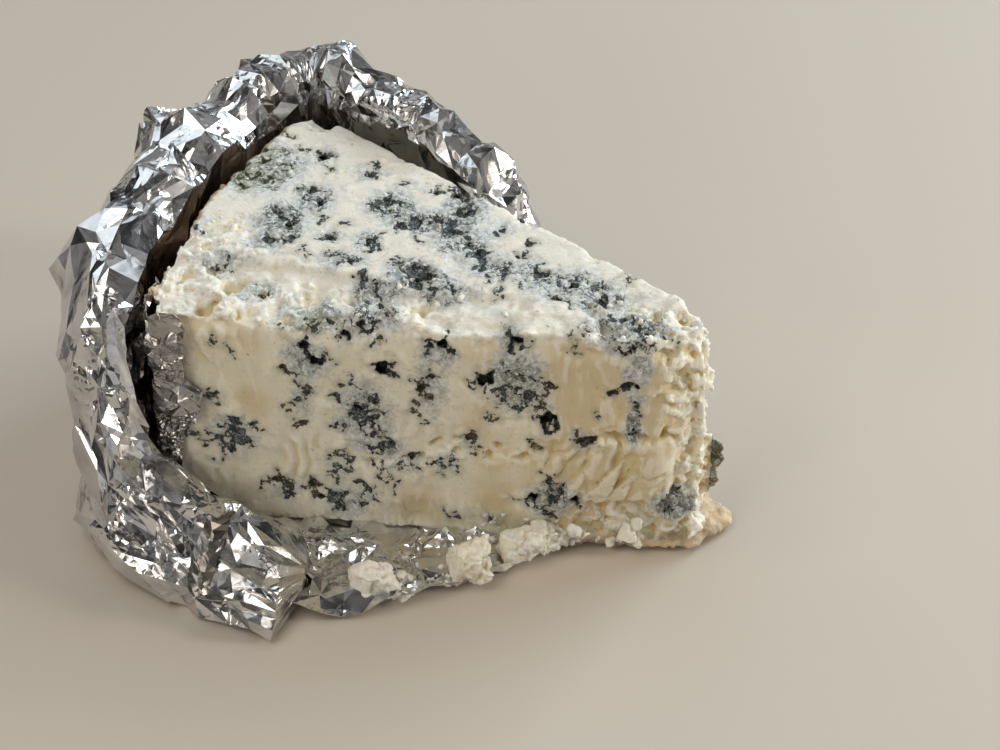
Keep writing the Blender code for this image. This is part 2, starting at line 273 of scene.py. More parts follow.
# pale blue-grey bloom around the blots (middle, half width, half height, strength)
frontBlooms = (
    (-75.4, 19.4, 4.2, 4.0, 0.7), (-53.6, 25.0, 4.4, 8.0, 0.95), (-50.0, 18.6, 3.0, 2.6, 0.8), (-62.6, 36.0, 4.0, 4.4, 0.9),
    (-63.4, 28.6, 2.4, 5.0, 0.75), (-57.5, 6.0, 3.6, 4.0, 0.8), (-53.6, 8.6, 2.2, 3.0, 0.7), (-67.2, 8.0, 3.4, 2.6, 0.6),
    (-43.2, 32.0, 3.0, 6.5, 0.75), (-41.6, 38.6, 3.6, 2.6, 0.8), (-29.6, 35.2, 4.6, 6.8, 1.0), (-24.4, 28.6, 2.6, 3.0, 0.5),
    (-23.8, 10.2, 4.4, 4.6, 1.0), (-10.5, 27.4, 1.3, 4.4, 1.5), (-10.6, 38.6, 2.0, 3.6, 0.8), (-10.8, 33.0, 2.0, 3.0, 0.7),
    (-3.4, 9.6, 4.6, 4.0, 1.3), (1.6, 12.0, 2.0, 2.2, 1.3), (-54.0, 42.4, 4.4, 2.4, 0.7), (-30.0, 42.0, 3.0, 2.2, 0.8),
    (-12.6, 43.2, 5.6, 1.8, 0.8), (-47.4, 16.0, 3.0, 2.6, 0.5), (-40.4, 16.6, 2.8, 2.6, 0.5), (-36.6, 21.6, 1.8, 2.4, 0.5),
    (-58.4, 14.0, 2.4, 3.0, 0.4), (-61.2, 43.4, 5.4, 2.6, 1.0), (-18.6, 22.8, 2.2, 2.2, 0.5), (-79.0, 26.8, 2.0, 1.4, 0.3),
)
topBlooms = (
    (-77.0, 38.0, 7.0, 6.4, 0.9), (-70.0, 23.6, 4.0, 4.6, 0.9), (-71.4, 18.4, 3.6, 2.4, 0.7), (-65.8, 31.0, 3.2, 3.6, 0.8),
    (-52.8, 29.4, 3.8, 4.0, 0.8), (-46.6, 26.2, 6.5, 2.8, 1.0), (-41.0, 30.0, 3.0, 7.0, 0.9), (-40.2, 21.6, 4.2, 4.0, 0.8),
    (-62.1, 20.7, 2.4, 1.9, 0.6), (-55.6, 19.8, 2.4, 1.9, 0.7), (-58.8, 15.0, 4.2, 1.8, 0.7), (-46.4, 12.0, 4.6, 3.4, 1.0),
    (-52.2, 8.2, 4.4, 2.8, 0.9), (-42.2, 9.4, 5.0, 2.0, 0.7), (-33.0, 15.6, 6.6, 3.0, 0.6), (-24.0, 12.6, 6.0, 3.4, 0.7),
    (-17.0, 9.6, 4.4, 4.2, 0.7), (-11.6, 3.9, 5.6, 2.6, 0.9), (-78.4, 12.8, 3.6, 2.2, 0.55), (-61.6, 2.4, 6.4, 4.2, 1.1),
    (-51.6, 3.0, 4.2, 2.6, 0.8), (-71.4, 7.6, 3.2, 2.8, 0.6), (-57.9, 38.4, 2.8, 1.8, 0.5), (-66.6, 42.6, 2.6, 2.4, 0.5),
    (-50.0, 35.4, 2.8, 1.5, 0.3), (-34.6, 26.0, 2.6, 2.0, 0.4), (-85.0, 22.0, 3.0, 3.0, 0.3),
)

# depth in millimetres, tone from blue through green to brown, number of twigs, width to height
blotKinds = {
    "blue": (0.9, 0.0, 5, 1.0),
    "green": (1.1, 0.5, 4, 1.0),
    "brown": (1.7, 0.85, 4, 1.0),
    "thin": (0.3, 0.3, 4, 1.0),
    "hole": (3.0, 0.3, 3, 1.0),
    "slot": (2.6, 0.2, 1, 3.6),
}


def growBlot(draw, place, radius, kind):
    # a few spots huddled together and thin twigs that wander off from them; place(across, up) gives a point
    depth, tone, twigs, wide = blotKinds[kind]
    grown = [(place(0, 0), radius * 0.55, depth, tone)] if kind == "hole" else []
    for _ in range(4):
        angle = draw.uniform(0, 2 * math.pi)
        away = radius * draw.uniform(0.1, 0.6)
        middle = place(away * math.cos(angle) * wide ** 0.6, away * math.sin(angle) / wide)
        grown.append((middle, radius * draw.uniform(0.4, 0.62) / wide ** 0.6, depth, tone))
    for _ in range(twigs):
        heading = draw.uniform(0, 2 * math.pi)
        across = up = 0.0
        size = radius * draw.uniform(0.28, 0.42)
        for _ in range(draw.randint(3, 7)):
            across += math.cos(heading) * size * 1.5
            up += math.sin(heading) * size * 1.5
            grown.append((place(across, up), size, depth * 0.5, tone))
            heading += draw.uniform(-0.9, 0.9)
            size = max(0.22, size * draw.uniform(0.72, 1.0))
    return grown


def makeMould():
    # every spot (middle, radius, depth, tone) and bloom (middle, half sizes, strength), with the cut's normal
    draw = random.Random(4)
    spots = []
    blooms = []
    front = Vector((0, -1, 0))
    top = Vector((0, 0, 1))
    for kind, blots in frontBlots.items():
        for x, z, radius in blots:
            spots += [(*spot, front) for spot in growBlot(draw, lambda a, b: Vector((x + a, 0, z + b)), radius * 0.92, kind)]
    for kind, blots in topBlots.items():
        for x, y, radius in blots:
            place = lambda a, b: Vector((x + a, y + b, wedge["height"]))
            grown = growBlot(draw, place, radius * 0.85, kind)
            spots += [(middle, reach, depth * 1.5, tone, top) for middle, reach, depth, tone in grown]
    for x, z, wide, tall, strength in frontBlooms:
        blooms.append((Vector((x, 0, z)), Vector((wide, 4.0, tall)), strength, front))
    for x, y, wide, deep, strength in topBlooms:
        blooms.append((Vector((x, y, wedge["height"])), Vector((wide * 1.25, deep * 1.25, 4.0)), strength + 0.22, top))
    for _ in range(26):
        middle = wheelMiddle + backCutWay * mixed(20, wedge["wheelRadius"] - 6, draw.random())
        middle.z = mixed(4, wedge["height"] - 3, draw.random())
        wide = mixed(1.5, 4.2, draw.random())
        tall = wide * mixed(0.7, 1.8, draw.random())
        blooms.append((middle, Vector((wide, wide, tall)), draw.uniform(0.5, 1.0), backCutNormal))
        for _ in range(draw.randint(2, 5)):
            kind = draw.choice(("blue", "blue", "brown", "hole", "thin"))
            start = middle + backCutWay * wide * draw.uniform(-0.8, 0.8) + Vector((0, 0, tall * draw.uniform(-0.8, 0.8)))
            place = lambda a, b: start + backCutWay * a + Vector((0, 0, b))
            grown = growBlot(draw, place, mixed(0.5, 1.4, draw.random()), kind)
            spots += [(*spot, backCutNormal) for spot in grown]
    return spots, blooms


mouldCell = 4.0


def sorted3d(things, reachOf):
    # every cell of a coarse grid lists the things that reach into it
    grid = {}
    for thing in things:
        reach = reachOf(thing)
        low = [math.floor((thing[0][i] - reach[i]) / mouldCell) for i in range(3)]
        high = [math.floor((thing[0][i] + reach[i]) / mouldCell) for i in range(3)]
        for cx in range(low[0], high[0] + 1):
            for cy in range(low[1], high[1] + 1):
                for cz in range(low[2], high[2] + 1):
                    grid.setdefault((cx, cy, cz), []).append(thing)
    return grid


mouldSpots, mouldBlooms = makeMould()
spotGrid = sorted3d(mouldSpots, lambda spot: [spot[1] + 1.2 + 2.5 * abs(spot[4][i]) for i in range(3)])
bloomGrid = sorted3d(mouldBlooms, lambda bloom: bloom[1] * 1.6)


def mouldAt(p):
    # bloom, how far inside a dark spot in millimetres, how deep it is sunk, and its tone
    cell = tuple(math.floor(p[i] / mouldCell) for i in range(3))
    bloom = 0.0
    if cell in bloomGrid:
        bent = p + 1.5 * noise.noise_vector(p / 3.4) + 0.6 * noise.noise_vector(p / 1.3)
        for middle, half, strength, normal in bloomGrid[cell]:
            away = bent - middle
            distance = math.sqrt((away.x / half.x) ** 2 + (away.y / half.y) ** 2 + (away.z / half.z) ** 2)
            bloom = max(bloom, strength * (1 - smoothStep(0.45, 1.45, distance)))
    inside, depth, tone = -1.0, 0.0, 0.3
    if cell in spotGrid:
        bents = {}
        for middle, radius, spotDepth, spotTone, normal in spotGrid[cell]:
            sunk = (p - middle).dot(normal)
            cut = normal.to_tuple()
            if cut not in bents:
                flat = p - sunk * normal
                bents[cut] = flat + 0.9 * noise.noise_vector(flat / 2.1) + 0.3 * noise.noise_vector(flat / 0.9)
            away = bents[cut] - middle
            here = radius - (away - away.dot(normal) * normal).length - 0.06 * abs(sunk)
            depth = max(depth, spotDepth * smoothStep(-0.15, 0.35, here))
            if here > inside:
                inside, tone = here, spotTone
    return bloom, inside, depth, tone


def slabsAt(p, size, offset=0.0):
    # broken paste: every slab stands at a height of its own (-1 to 1), with a thin seam between slabs
    bent = p / size + 0.3 * noise.noise_vector(p / (size * 0.5)) + Vector((offset, 0, 0))
    distances, points = noise.voronoi(bent)
    near = max(-1.0, min(1.0, 1.7 * noise.noise(points[0] * 4.3)))
    other = max(-1.0, min(1.0, 1.7 * noise.noise(points[1] * 4.3)))
    gap = distances[1] - distances[0]
    return mixed((near + other) / 2, near, smoothStep(0.0, 0.2, gap)), 1 - smoothStep(0.0, 0.25, gap)


def tornAt(p):
    # where the paste is torn into blocky crumbs, along the front of the top
    wobble = 3.0 * noise.noise(p / 8.0)
    topFront = smoothStep(40.0, 43.5, p.z + 0.7 * wobble) * (1 - smoothStep(7, 13, p.y + wobble))
    calmStretch = smoothStep(-44, -38, p.x) * (1 - smoothStep(-22, -16, p.x))
    topFront *= 1 - 0.7 * calmStretch
    leftEnd = (1 - smoothStep(-78, -69, p.x + wobble)) * smoothStep(40, 43, p.z) * (1 - smoothStep(19, 26, p.y + wobble))
    return max(topFront, leftEnd)


def flakeAt(p):
    # the flake of mouldy skin behind the tip
    return smoothStep(1.5, 2.2, p.x) * smoothStep(7.5, 9.0, p.z) * (1 - smoothStep(21.2, 22.0, p.z)) * smoothStep(4.6, 5.6, p.y)


def lumpyAt(p):
    # where it has come off in rounded crumbs, at the tip and its foot
    wobble = 3.5 * noise.noise(p / 8.0 + Vector((5, 0, 0)))
    tip = smoothStep(-8, -3, p.x + wobble)
    foot = smoothStep(-23, -14, p.x + wobble) * (1 - smoothStep(9, 15, p.z + wobble))
    nook = smoothStep(0.3, 0.6, noise.noise(p / 6.0 + Vector((3, 1, 8)))) * 0.4 * smoothStep(-60, -20, p.x)
    return min(1.0, max(tip, foot, nook)) * (1 - 0.75 * footSkinAt(p)) * (1 - 0.8 * flakeAt(p))


def footSkinAt(p):
    # the skin along the foot, which rises to a lip at the tip
    height = mixed(0.2, 1.9, smoothStep(-36, -25, p.x)) + 0.6 * noise.noise(p / 4.0) + 5.6 * smoothStep(-7, 6, p.x) * smoothStep(-1, 5, p.y)
    return 1 - smoothStep(height - 0.5, height + 0.5, p.z)


def rindAt(p):
    # the skin of the wheel: round the side, along the foot and on the flake
    side = smoothStep(99.0, 99.8, math.hypot(p.x - wedge["tipCut"], p.y) + 0.5 * noise.noise(p / 2.5))
    return max(side, footSkinAt(p), flakeAt(p))


# the jagged break across the front cut: below it the paste stands further out
breakLine = ((-62.0, 13.5), (-48.0, 16.0), (-40.0, 19.7), (-31.0, 19.4), (-22.0, 20.4), (-15.9, 23.7), (0.0, 25.0))


def breakHeight(x):
    height = breakLine[-1][1]
    for before, after in zip(breakLine, breakLine[1:]):
        if x <= after[0]:
            height = mixed(before[1], after[1], max(0.0, (x - before[0]) / (after[0] - before[0])))
            break
    return height + 1.6 * noise.noise(Vector((x / 3.4, 0, 2))) + 0.9 * noise.noise(Vector((x / 1.2, 5, 2)))


def frontReliefAt(p):
    # how far the front cut stands out: smears pulled downwards, the jagged break, ribs and torn plates
    bent = Vector((p.x + 1.6 * noise.noise(p / 7.0), 0, p.z))
    smear = noise.noise(Vector((bent.x / 1.5, 3, bent.z / 9.0))) * smoothStep(-0.2, 0.5, noise.noise(bent / 9.0))
    relief = 0.6 * smear + 0.16 * noise.noise(Vector((bent.x / 0.7, 9, bent.z / 6.0)))
    below = 1 - smoothStep(-0.25, 0.25, p.z - breakHeight(p.x))
    relief += below * mixed(0.8, 1.3, smoothStep(-24, -12, p.x)) * smoothStep(-60, -50, p.x) * smoothStep(2, 8, p.z)
    plateZone = smoothStep(-28, -20, p.x) * (1 - smoothStep(-7, -3, p.x)) * (1 - smoothStep(20, 24, p.z))
    nearBreak = 1 - smoothStep(0.8, 2.0, abs(p.z - breakHeight(p.x) - 0.4))
    pits = smoothStep(0.12, 0.34, noise.noise(p / 2.0 + Vector((0, 3, 7)))) * smoothStep(-58, -46, p.x)
    relief -= nearBreak * pits * 1.5
    leaning = Vector(((p.x - 0.5 * p.z) / 3.3, 1, (p.z + 0.4 * p.x) / 9.0))
    height, seam = slabsAt(leaning, 1.0, 4.0)
    relief += plateZone * (1.1 * height - 0.7 * seam)
    ribs = 1 - smoothStep(0.4, 1.1, math.hypot((p.x + 65.0) / 3.4, (p.z - 14.5) / 7.0))
    relief += ribs * 0.42 * math.sin((p.x + 0.02 * (p.z - 14) ** 2 + 1.4 * noise.noise(p / 4.0)) * 2.7)
    # shallow tears with crisp edges, longer than wide, on parts of the cut
    height, seam = slabsAt(Vector(((p.x + 0.15 * p.z) / 3.0, 2, p.z / 5.6)), 1.0, 11.0)
    torn = smoothStep(-0.1, 0.25, noise.noise(Vector((p.x / 9.0, 7, p.z / 9.0))))
    return relief + (1 - plateZone) * torn * (0.5 * height - 0.15 * seam)


def topReliefAt(p):
    # faint streaks of the knife and shallow tears along the wedge
    streaks = 0.1 * noise.noise(Vector((p.x / 6.0, p.y / 1.6, p.z / 4.0)))
    height, seam = slabsAt(Vector(((p.x + 0.5 * p.y) / 6.5, (p.y - 0.2 * p.x) / 2.6, p.z / 6.0)), 1.0, 21.0)
    torn = smoothStep(-0.05, 0.3, noise.noise(p / 9.0 + Vector((1, 4, 2))))
    fine, fineSeam = slabsAt(Vector(((p.x + 0.5 * p.y) / 2.6, (p.y - 0.2 * p.x) / 1.1, p.z / 2.6)), 1.0, 41.0)
    flaky = smoothStep(-0.1, 0.2, noise.noise(p / 4.0 + Vector((6, 1, 9))))
    return streaks + torn * (0.34 * height - 0.12 * seam) + flaky * (0.13 * fine - 0.14 * fineSeam)


def shapeWedge(bm):
    # splays the tip's foot, drops the ledge in front, wears the edges and breaks the paste into slabs and crumbs
    notchMiddle = wheelMiddle + backCutWay * (wedge["wheelRadius"] - 3.6) + Vector((0, 0, wedge["height"] + 1.2))
    for vert in bm.verts:
        p = vert.co.copy()
        normal = vert.normal.copy()
        tip = smoothStep(-22, 0, p.x)
        low = 1 - smoothStep(0, 12, p.z)
        belly = smoothStep(8, 16, p.z) * (1 - smoothStep(33, 42, p.z))
        vert.co.x += tip * (cheese["lipReach"] * low * (0.15 + 0.85 * smoothStep(0, 8, p.y)) - 0.5 + 1.3 * belly)
        vert.co.y += 1.0 * tip * low * (1 - smoothStep(0, 6, p.y))
        ledgeLine = 13.8 - 5.0 * smoothStep(-77, -40, p.x) + 0.8 * noise.noise(Vector((p.x / 3.0, 0, 4)))
        ledge = smoothStep(42, 44, p.z) * (1 - smoothStep(ledgeLine - 0.6, ledgeLine + 0.8, p.y))
        vert.co.z -= cheese["ledgeDrop"] * ledge * (1 - smoothStep(-36, -27, p.x))
        rounded = smoothStep(-9, 0, p.x) ** 2 * (1 - smoothStep(0, 6, p.y)) * smoothStep(4, 12, p.z)
        vert.co.y += 2.6 * rounded
        edge = smoothStep(38, 45, p.z) * (1 - smoothStep(0, 6, p.y))
        ragged = 0.5 + 0.5 * noise.noise(p / 5.0)
        vert.co.y += 1.1 * edge * ragged
        vert.co.z -= 1.2 * edge * ragged
        vert.co.x -= flakeAt(p) * 0.8 * noise.noise(Vector((0, 5, p.z / 1.7)))
        torn = tornAt(p)
        if torn > 0.02:
            slab, seam = slabsAt(p, cheese["slabSize"])
            vert.co += normal * torn * cheese["slabStep"] * (0.6 * slab - 0.3 * seam - 0.2)
            crumb, seam = slabsAt(p, cheese["crumbSize"], 7.0)
            rough = smoothStep(-0.1, 0.35, noise.noise(p / 5.0 + Vector((2, 2, 0))))
            vert.co += normal * torn * rough * cheese["crumbStep"] * (0.6 * crumb - 0.4 * seam)
            pit = smoothStep(0.36, 0.55, noise.noise(p / 3.3 + Vector((8, 1, 0))))
            vert.co -= normal * torn * 1.8 * pit
        lumpy = lumpyAt(p)
        if lumpy > 0.02:
            crumb, seam = slabsAt(p, cheese["crumbSize"] * 1.25, 3.0)
            vert.co += normal * lumpy * cheese["crumbStep"] * (0.8 * crumb - 1.1 * seam - 0.1)
        depth = mouldAt(p)[2]
        vert.co -= normal * 0.6 * depth
        fromCorner = (Vector((p.x, p.y, 0)) - backCorner).length
        vert.co -= (backCutWay + backCutNormal) * 1.5 * (1 - smoothStep(0.5, 5.0, fromCorner)) * smoothStep(20, 45, p.z)
        away = (p - notchMiddle).length + 1.5 * noise.noise(p / 1.8)
        vert.co -= normal * 1.6 * (1 - smoothStep(2.2, 3.8, away))
        if p.z < 5 and normal.z > -0.5:
            foot = (1 - smoothStep(1.2, 3.0, p.z + 0.8 * noise.noise(p / 3.0))) * smoothStep(-38, -20, p.x)
            vert.co += Vector((normal.x, normal.y, 0)) * foot * cheese["rindBulge"]
        vert.co += normal * 0.25 * noise.noise(p / 6.0)


# stretches of the front cut that are tanned (middle along x, height, half width, half height)
tannedParts = ((-77, 37, 9, 6), (-71, 30, 5, 8), (-19, 32, 9, 9), (-47, 8, 8, 5), (-34, 12, 6, 6), (-38, 26, 5, 5),
               (-17, 12, 12, 9))


def warmthAt(p, forwards, rind):
    # 0 on the pale top, 0.5 on the front, whose warmer cream is partly painted warm shade, 1 where that is tanned; on
    # rind 1 at the foot, browner there partly from dirt, partly as painted contact shadow
    if rind > 0.5:
        return smoothStep(-6, -12, p.x)
    # warmer and darker towards the right of the front: painted shade where the cut curves away from the light
    frontShade = mixed(0.36, 0.86, smoothStep(-50, -12, p.x))
    tanned = 0.0
    for x, z, wide, tall in tannedParts:
        away = math.hypot((p.x - x) / wide, (p.z - z) / tall) + 0.3 * noise.noise(p / 4.0)
        tanned = max(tanned, 1 - smoothStep(0.5, 1.3, away))
    return (frontShade + 0.3 * tanned) * smoothStep(44.5, 41.5, p.z) if forwards else 0.5 * (1 - smoothStep(40, 43, p.z))


def detailWedge(bm):
    # fine crumbs, smears and mould holes, and the maps that the paste's material reads
    bm.normal_update()
    mouldMap = []
    pasteMap = []
    moves = []
    for vert in bm.verts:
        p = vert.co
        normal = vert.normal
        rind = rindAt(p)
        crumbly = max(tornAt(p), lumpyAt(p))
        bloom, inside, depth, tone = mouldAt(p)
        flake = flakeAt(p)
        if flake > 0.3:
            bloom, inside, tone = 0.9, 0.3 + 0.7 * noise.noise(p / 1.6), 0.45
        move = 0.0
        if crumbly > 0.02:
            grain, seam = slabsAt(p, cheese["grainSize"])
            rough = mixed(0.35, 1.0, smoothStep(-0.2, 0.3, noise.noise(p / 3.0 + Vector((0, 6, 0)))))
            move += crumbly * rough * cheese["grainStep"] * (0.7 * grain - 0.5 * seam)
        forwards = smoothStep(0.4, 0.8, -normal.y) * (1 - crumbly) * (1 - rind)
        if forwards:
            move += forwards * frontReliefAt(p)
        else:
            move += (1 - crumbly) * topReliefAt(p)
        move -= 0.5 * depth * smoothStep(-0.1, 0.3, inside) * (0.8 + 0.5 * noise.noise(p / 0.9))
        if bloom > 0.1 and crumbly < 0.9:
            fluff, seam = slabsAt(p, 1.4, 30.0)
            rough = min(1.0, bloom) * (1 - crumbly) * smoothStep(-0.25, 0.2, noise.noise(p / 2.4 + Vector((9, 9, 0))))
            move += rough * (0.34 * fluff - 0.26 * seam + 0.1 * noise.noise(p / 0.7))
        if rind > 0.05:
            move += rind * (0.3 * noise.noise(p / 2.2) + 0.16 * noise.noise(p / 0.8))
        moves.append(normal * move)
        mouldMap.append((bloom, inside, tone))
        pasteMap.append((0.0, crumbly, rind, warmthAt(p, forwards, rind)))
    for vert, move in zip(bm.verts, moves):
        vert.co += move
    return mouldMap, pasteMap


def cavities(bm, rounds):
    # how far each point lies below the average of those around it, in millimetres
    bm.verts.ensure_lookup_table()
    around = [[edge.other_vert(vert).index for edge in vert.link_edges] for vert in bm.verts]
    smooth = [vert.co.copy() for vert in bm.verts]
    for _ in range(rounds):
        smooth = [sum((smooth[i] for i in near), Vector()) / len(near) for near in around]
    return [(level - vert.co).dot(vert.normal) for level, vert in zip(smooth, bm.verts)]


def makeCheese(material):
    bm = bmesh.new()
    # the rind's arc is spun from the left corner, and closed through the two corners of the tip
    first = bm.verts.new((leftCorner, 0, wedge["foilUnder"] * 0.3))
    bmesh.ops.spin(bm, geom=[first], cent=wheelMiddle, axis=(0, 0, -1), angle=wedge["angle"], steps=30)
    bm.verts.ensure_lookup_table()
    arcEnd = max(bm.verts, key=lambda vert: vert.co.y)
    tipFront = bm.verts.new((0, 0, first.co.z))
    tipBack = bm.verts.new(wheelMiddle + backCutWay * (wedge["tipCut"] / math.cos(wedge["angle"])))
    tipBack.co.z = first.co.z
    for ends in ((first, tipFront), (tipFront, tipBack), (tipBack, arcEnd)):
        bm.edges.new(ends)
    base = bmesh.ops.contextual_create(bm, geom=bm.edges)["faces"]
    raised = bmesh.ops.extrude_face_region(bm, geom=base)["geom"]
    top = [part for part in raised if isinstance(part, bmesh.types.BMVert)]
    bmesh.ops.translate(bm, verts=top, vec=(0, 0, wedge["height"] - first.co.z))
    # a flake of mouldy skin that sticks out behind the tip
    bmesh.ops.create_icosphere(bm, subdivisions=4, radius=1, matrix=Matrix.LocRotScale(
        Vector((-0.1, 7.6, 14.0)), Matrix.Rotation(math.radians(-5), 3, "Y"), Vector((3.9, 1.4, 7.6))))
    bmesh.ops.recalc_face_normals(bm, faces=bm.faces)
    bm = remeshed(bm, cheese["coarseVoxel"])
    shapeWedge(bm)
    bm = remeshed(bm, cheese["fineVoxel"])
    print("cheese points:", len(bm.verts))
    mouldMap, pasteMap = detailWedge(bm)
    for vert in bm.verts:
        floor = wedge["foilUnder"] * (1 - smoothStep(wedge["rampStart"], wedge["rampEnd"], vert.co.x))
        vert.co.z = max(vert.co.z, floor + 0.02)
    bm.normal_update()
    # the paste material turns this cavity into painted highlight on crests and painted warm shade in hollows
    cavity = cavities(bm, 8)
    pasteMap = [(max(-1.0, min(1.0, depth)), *values[1:]) for depth, values in zip(cavity, pasteMap)]
    surface = BVHTree.FromBMesh(bm)
    # the flattest of the small faces are merged
    share = cheese["mostTriangles"] / sum(len(face.verts) - 2 for face in bm.faces)
    bm = modified(bm, "DECIMATE", {"ratio": min(1.0, share)}, {"mouldMap": mouldMap, "pasteMap": pasteMap})
    finishPiece("cheese_wedge", bm, material, ["cheese"])
    return surface


paste = {
    "paleCream": (0.80, 0.77, 0.68),
    "cream": (0.86, 0.81, 0.645),
    "warmCream": (0.74, 0.625, 0.40),
    "paintedHighlight": (0.92, 0.89, 0.80),
    "paintedWarmShade": (0.78, 0.57, 0.16),
    "bloomPale": (0.51, 0.54, 0.545),
    "bloomDeep": (0.17, 0.195, 0.205),
    "bloomGreen": (0.33, 0.37, 0.27),
    "haloGrey": (0.40, 0.40, 0.33),
    "speckOlive": (0.30, 0.27, 0.12),
    "granuleWhite": (0.74, 0.78, 0.80),
    "coreBlue": (0.20, 0.235, 0.245),
    "coreBrown": (0.26, 0.20, 0.145),
    "inkBlue": (0.012, 0.018, 0.020),
    "inkGrey": (0.085, 0.105, 0.11),
    "inkGreen": (0.035, 0.045, 0.015),
    "inkBrown": (0.075, 0.055, 0.030),
    "rindBeige": (0.60, 0.43, 0.24),
    "rindPale": (0.74, 0.61, 0.43),
    "rindBrown": (0.25, 0.155, 0.09),
    "rindPurple": (0.21, 0.175, 0.18),
    "rindGrey": (0.15, 0.15, 0.12),
}


def makePasteMaterial():
    material, tree, shader, place = newMaterial("cheesePaste")
    mould = addNode(tree, "ShaderNodeAttribute", {"attribute_name": "mouldMap"})
    mould = addNode(tree, "ShaderNodeSeparateColor", inputs={"Color": mould.outputs["Color"]})
    bloom, inside, tone = mould.outputs[0], mould.outputs[1], mould.outputs[2]
    relief = addNode(tree, "ShaderNodeAttribute", {"attribute_name": "pasteMap"})
    warmthAndShade = relief.outputs["Alpha"]
    relief = addNode(tree, "ShaderNodeSeparateColor", inputs={"Color": relief.outputs["Color"]})
    cavity, crumbly, rind = relief.outputs[0], relief.outputs[1], relief.outputs[2]
    bending = noiseAt(tree, place, 0.85, 2.5, 0.65, output="Color")
    mixedNoise = addNode(tree, "ShaderNodeSeparateColor", inputs={"Color": bending})
    skin = noiseAt(tree, place, 3.0, 2.0, 0.65)
    ragged, mottle, speck = mixedNoise.outputs[0], mixedNoise.outputs[1], mixedNoise.outputs[2]
    clouds = noiseAt(tree, place, 8.0, 1.0)
    # cream paste: paler on the top and warmer on the front, where the warmth is partly painted warm shade; painted
    # highlight on crests and painted warm shade in crevices
    colour = blendColours(tree, ramp(tree, warmthAndShade, 0.0, 0.5), paste["paleCream"], paste["cream"])
    tanned = calc(tree, "MULTIPLY_ADD", calc(tree, "SUBTRACT", clouds, 0.5), 1.2, warmthAndShade)
    colour = blendColours(tree, ramp(tree, tanned, 0.5, 1.0), colour, paste["warmCream"])
    paintedHighlight = calc(tree, "MULTIPLY", ramp(tree, cavity, -0.015, -0.12), calc(tree, "MULTIPLY_ADD", crumbly, 0.55, 0.45))
    colour = blendColours(tree, paintedHighlight, colour, paste["paintedHighlight"])
    # painted warm shade in the hollows, stronger on crumbly paste
    sunk = calc(tree, "MULTIPLY", ramp(tree, cavity, 0.05, 0.42), calc(tree, "MULTIPLY_ADD", crumbly, 0.4, 0.55))
    colour = blendColours(tree, sunk, colour, paste["paintedWarmShade"])
    specks = ramp(tree, noiseAt(tree, place, 1.1, 1.5, 0.6), 0.70, 0.76)
    colour = blendColours(tree, calc(tree, "MULTIPLY", specks, 0.6), colour, paste["speckOlive"])
    # mould: a pale blue-grey bloom with deeper patches in it, and near-black blots
    fuzz = calc(tree, "MULTIPLY_ADD", mottle, 2.2, calc(tree, "MINIMUM", bloom, 1.0))
    bloomMask = ramp(tree, fuzz, 1.2, 1.95)
    deepMask = ramp(tree, calc(tree, "MULTIPLY_ADD", speck, 2.2, bloom), 1.85, 2.35)
    bloomColour = blendColours(tree, deepMask, paste["bloomPale"], paste["bloomDeep"])
    green = calc(tree, "MULTIPLY", ramp(tree, tone, 0.35, 0.5), ramp(tree, tone, 0.75, 0.55))
    bloomColour = blendColours(tree, calc(tree, "MULTIPLY", green, 0.6), bloomColour, paste["bloomGreen"])
    colour = blendColours(tree, calc(tree, "MULTIPLY", bloomMask, 0.85), colour, bloomColour)
    # a grey-green shade around the blots, white granules, and fine black lines between them where it is strong
    halo = calc(tree, "MULTIPLY", ramp(tree, inside, -0.95, -0.1), 0.42)
    colour = blendColours(tree, halo, colour, paste["haloGrey"])
    granules = calc(tree, "MULTIPLY", ramp(tree, noiseAt(tree, place, 0.7, 1.0), 0.52, 0.6), bloomMask)
    colour = blendColours(tree, calc(tree, "MULTIPLY", granules, 0.75), colour, paste["granuleWhite"])
    bent = addNode(tree, "ShaderNodeVectorMath", {"operation": "MULTIPLY_ADD"}, {0: bending, 1: (2.2, 2.2, 2.2), 2: place})
    bent = bent.outputs["Vector"]
    cells = addNode(tree, "ShaderNodeTexVoronoi", {"feature": "DISTANCE_TO_EDGE"}, {"Vector": bent, "Scale": 1.0 / 1.7})
    lines = calc(tree, "MULTIPLY", ramp(tree, cells.outputs["Distance"], 0.09, 0.03), ramp(tree, bloom, 0.62, 0.85))
    lines = calc(tree, "MULTIPLY", lines, ramp(tree, skin, 0.47, 0.53))
    lines = calc(tree, "MULTIPLY", lines, ramp(tree, warmthAndShade, 0.1, 0.5, 1.0, 0.55))
    lineColour = blendColours(tree, green, paste["inkBlue"], paste["inkGreen"])
    colour = blendColours(tree, calc(tree, "MULTIPLY", lines, 0.85), colour, lineColour)
    edge = calc(tree, "MULTIPLY_ADD", calc(tree, "SUBTRACT", ragged, 0.5), 1.5, inside)
    ink = ramp(tree, edge, -0.1, 0.1)
    inkColour = blendColours(tree, ramp(tree, speck, 0.45, 0.66), paste["inkBlue"], paste["inkGrey"])
    inkColour = blendColours(tree, green, inkColour, paste["inkGreen"])
    brown = ramp(tree, tone, 0.6, 0.85)
    inkColour = blendColours(tree, calc(tree, "MULTIPLY", brown, 0.8), inkColour, paste["inkBrown"])
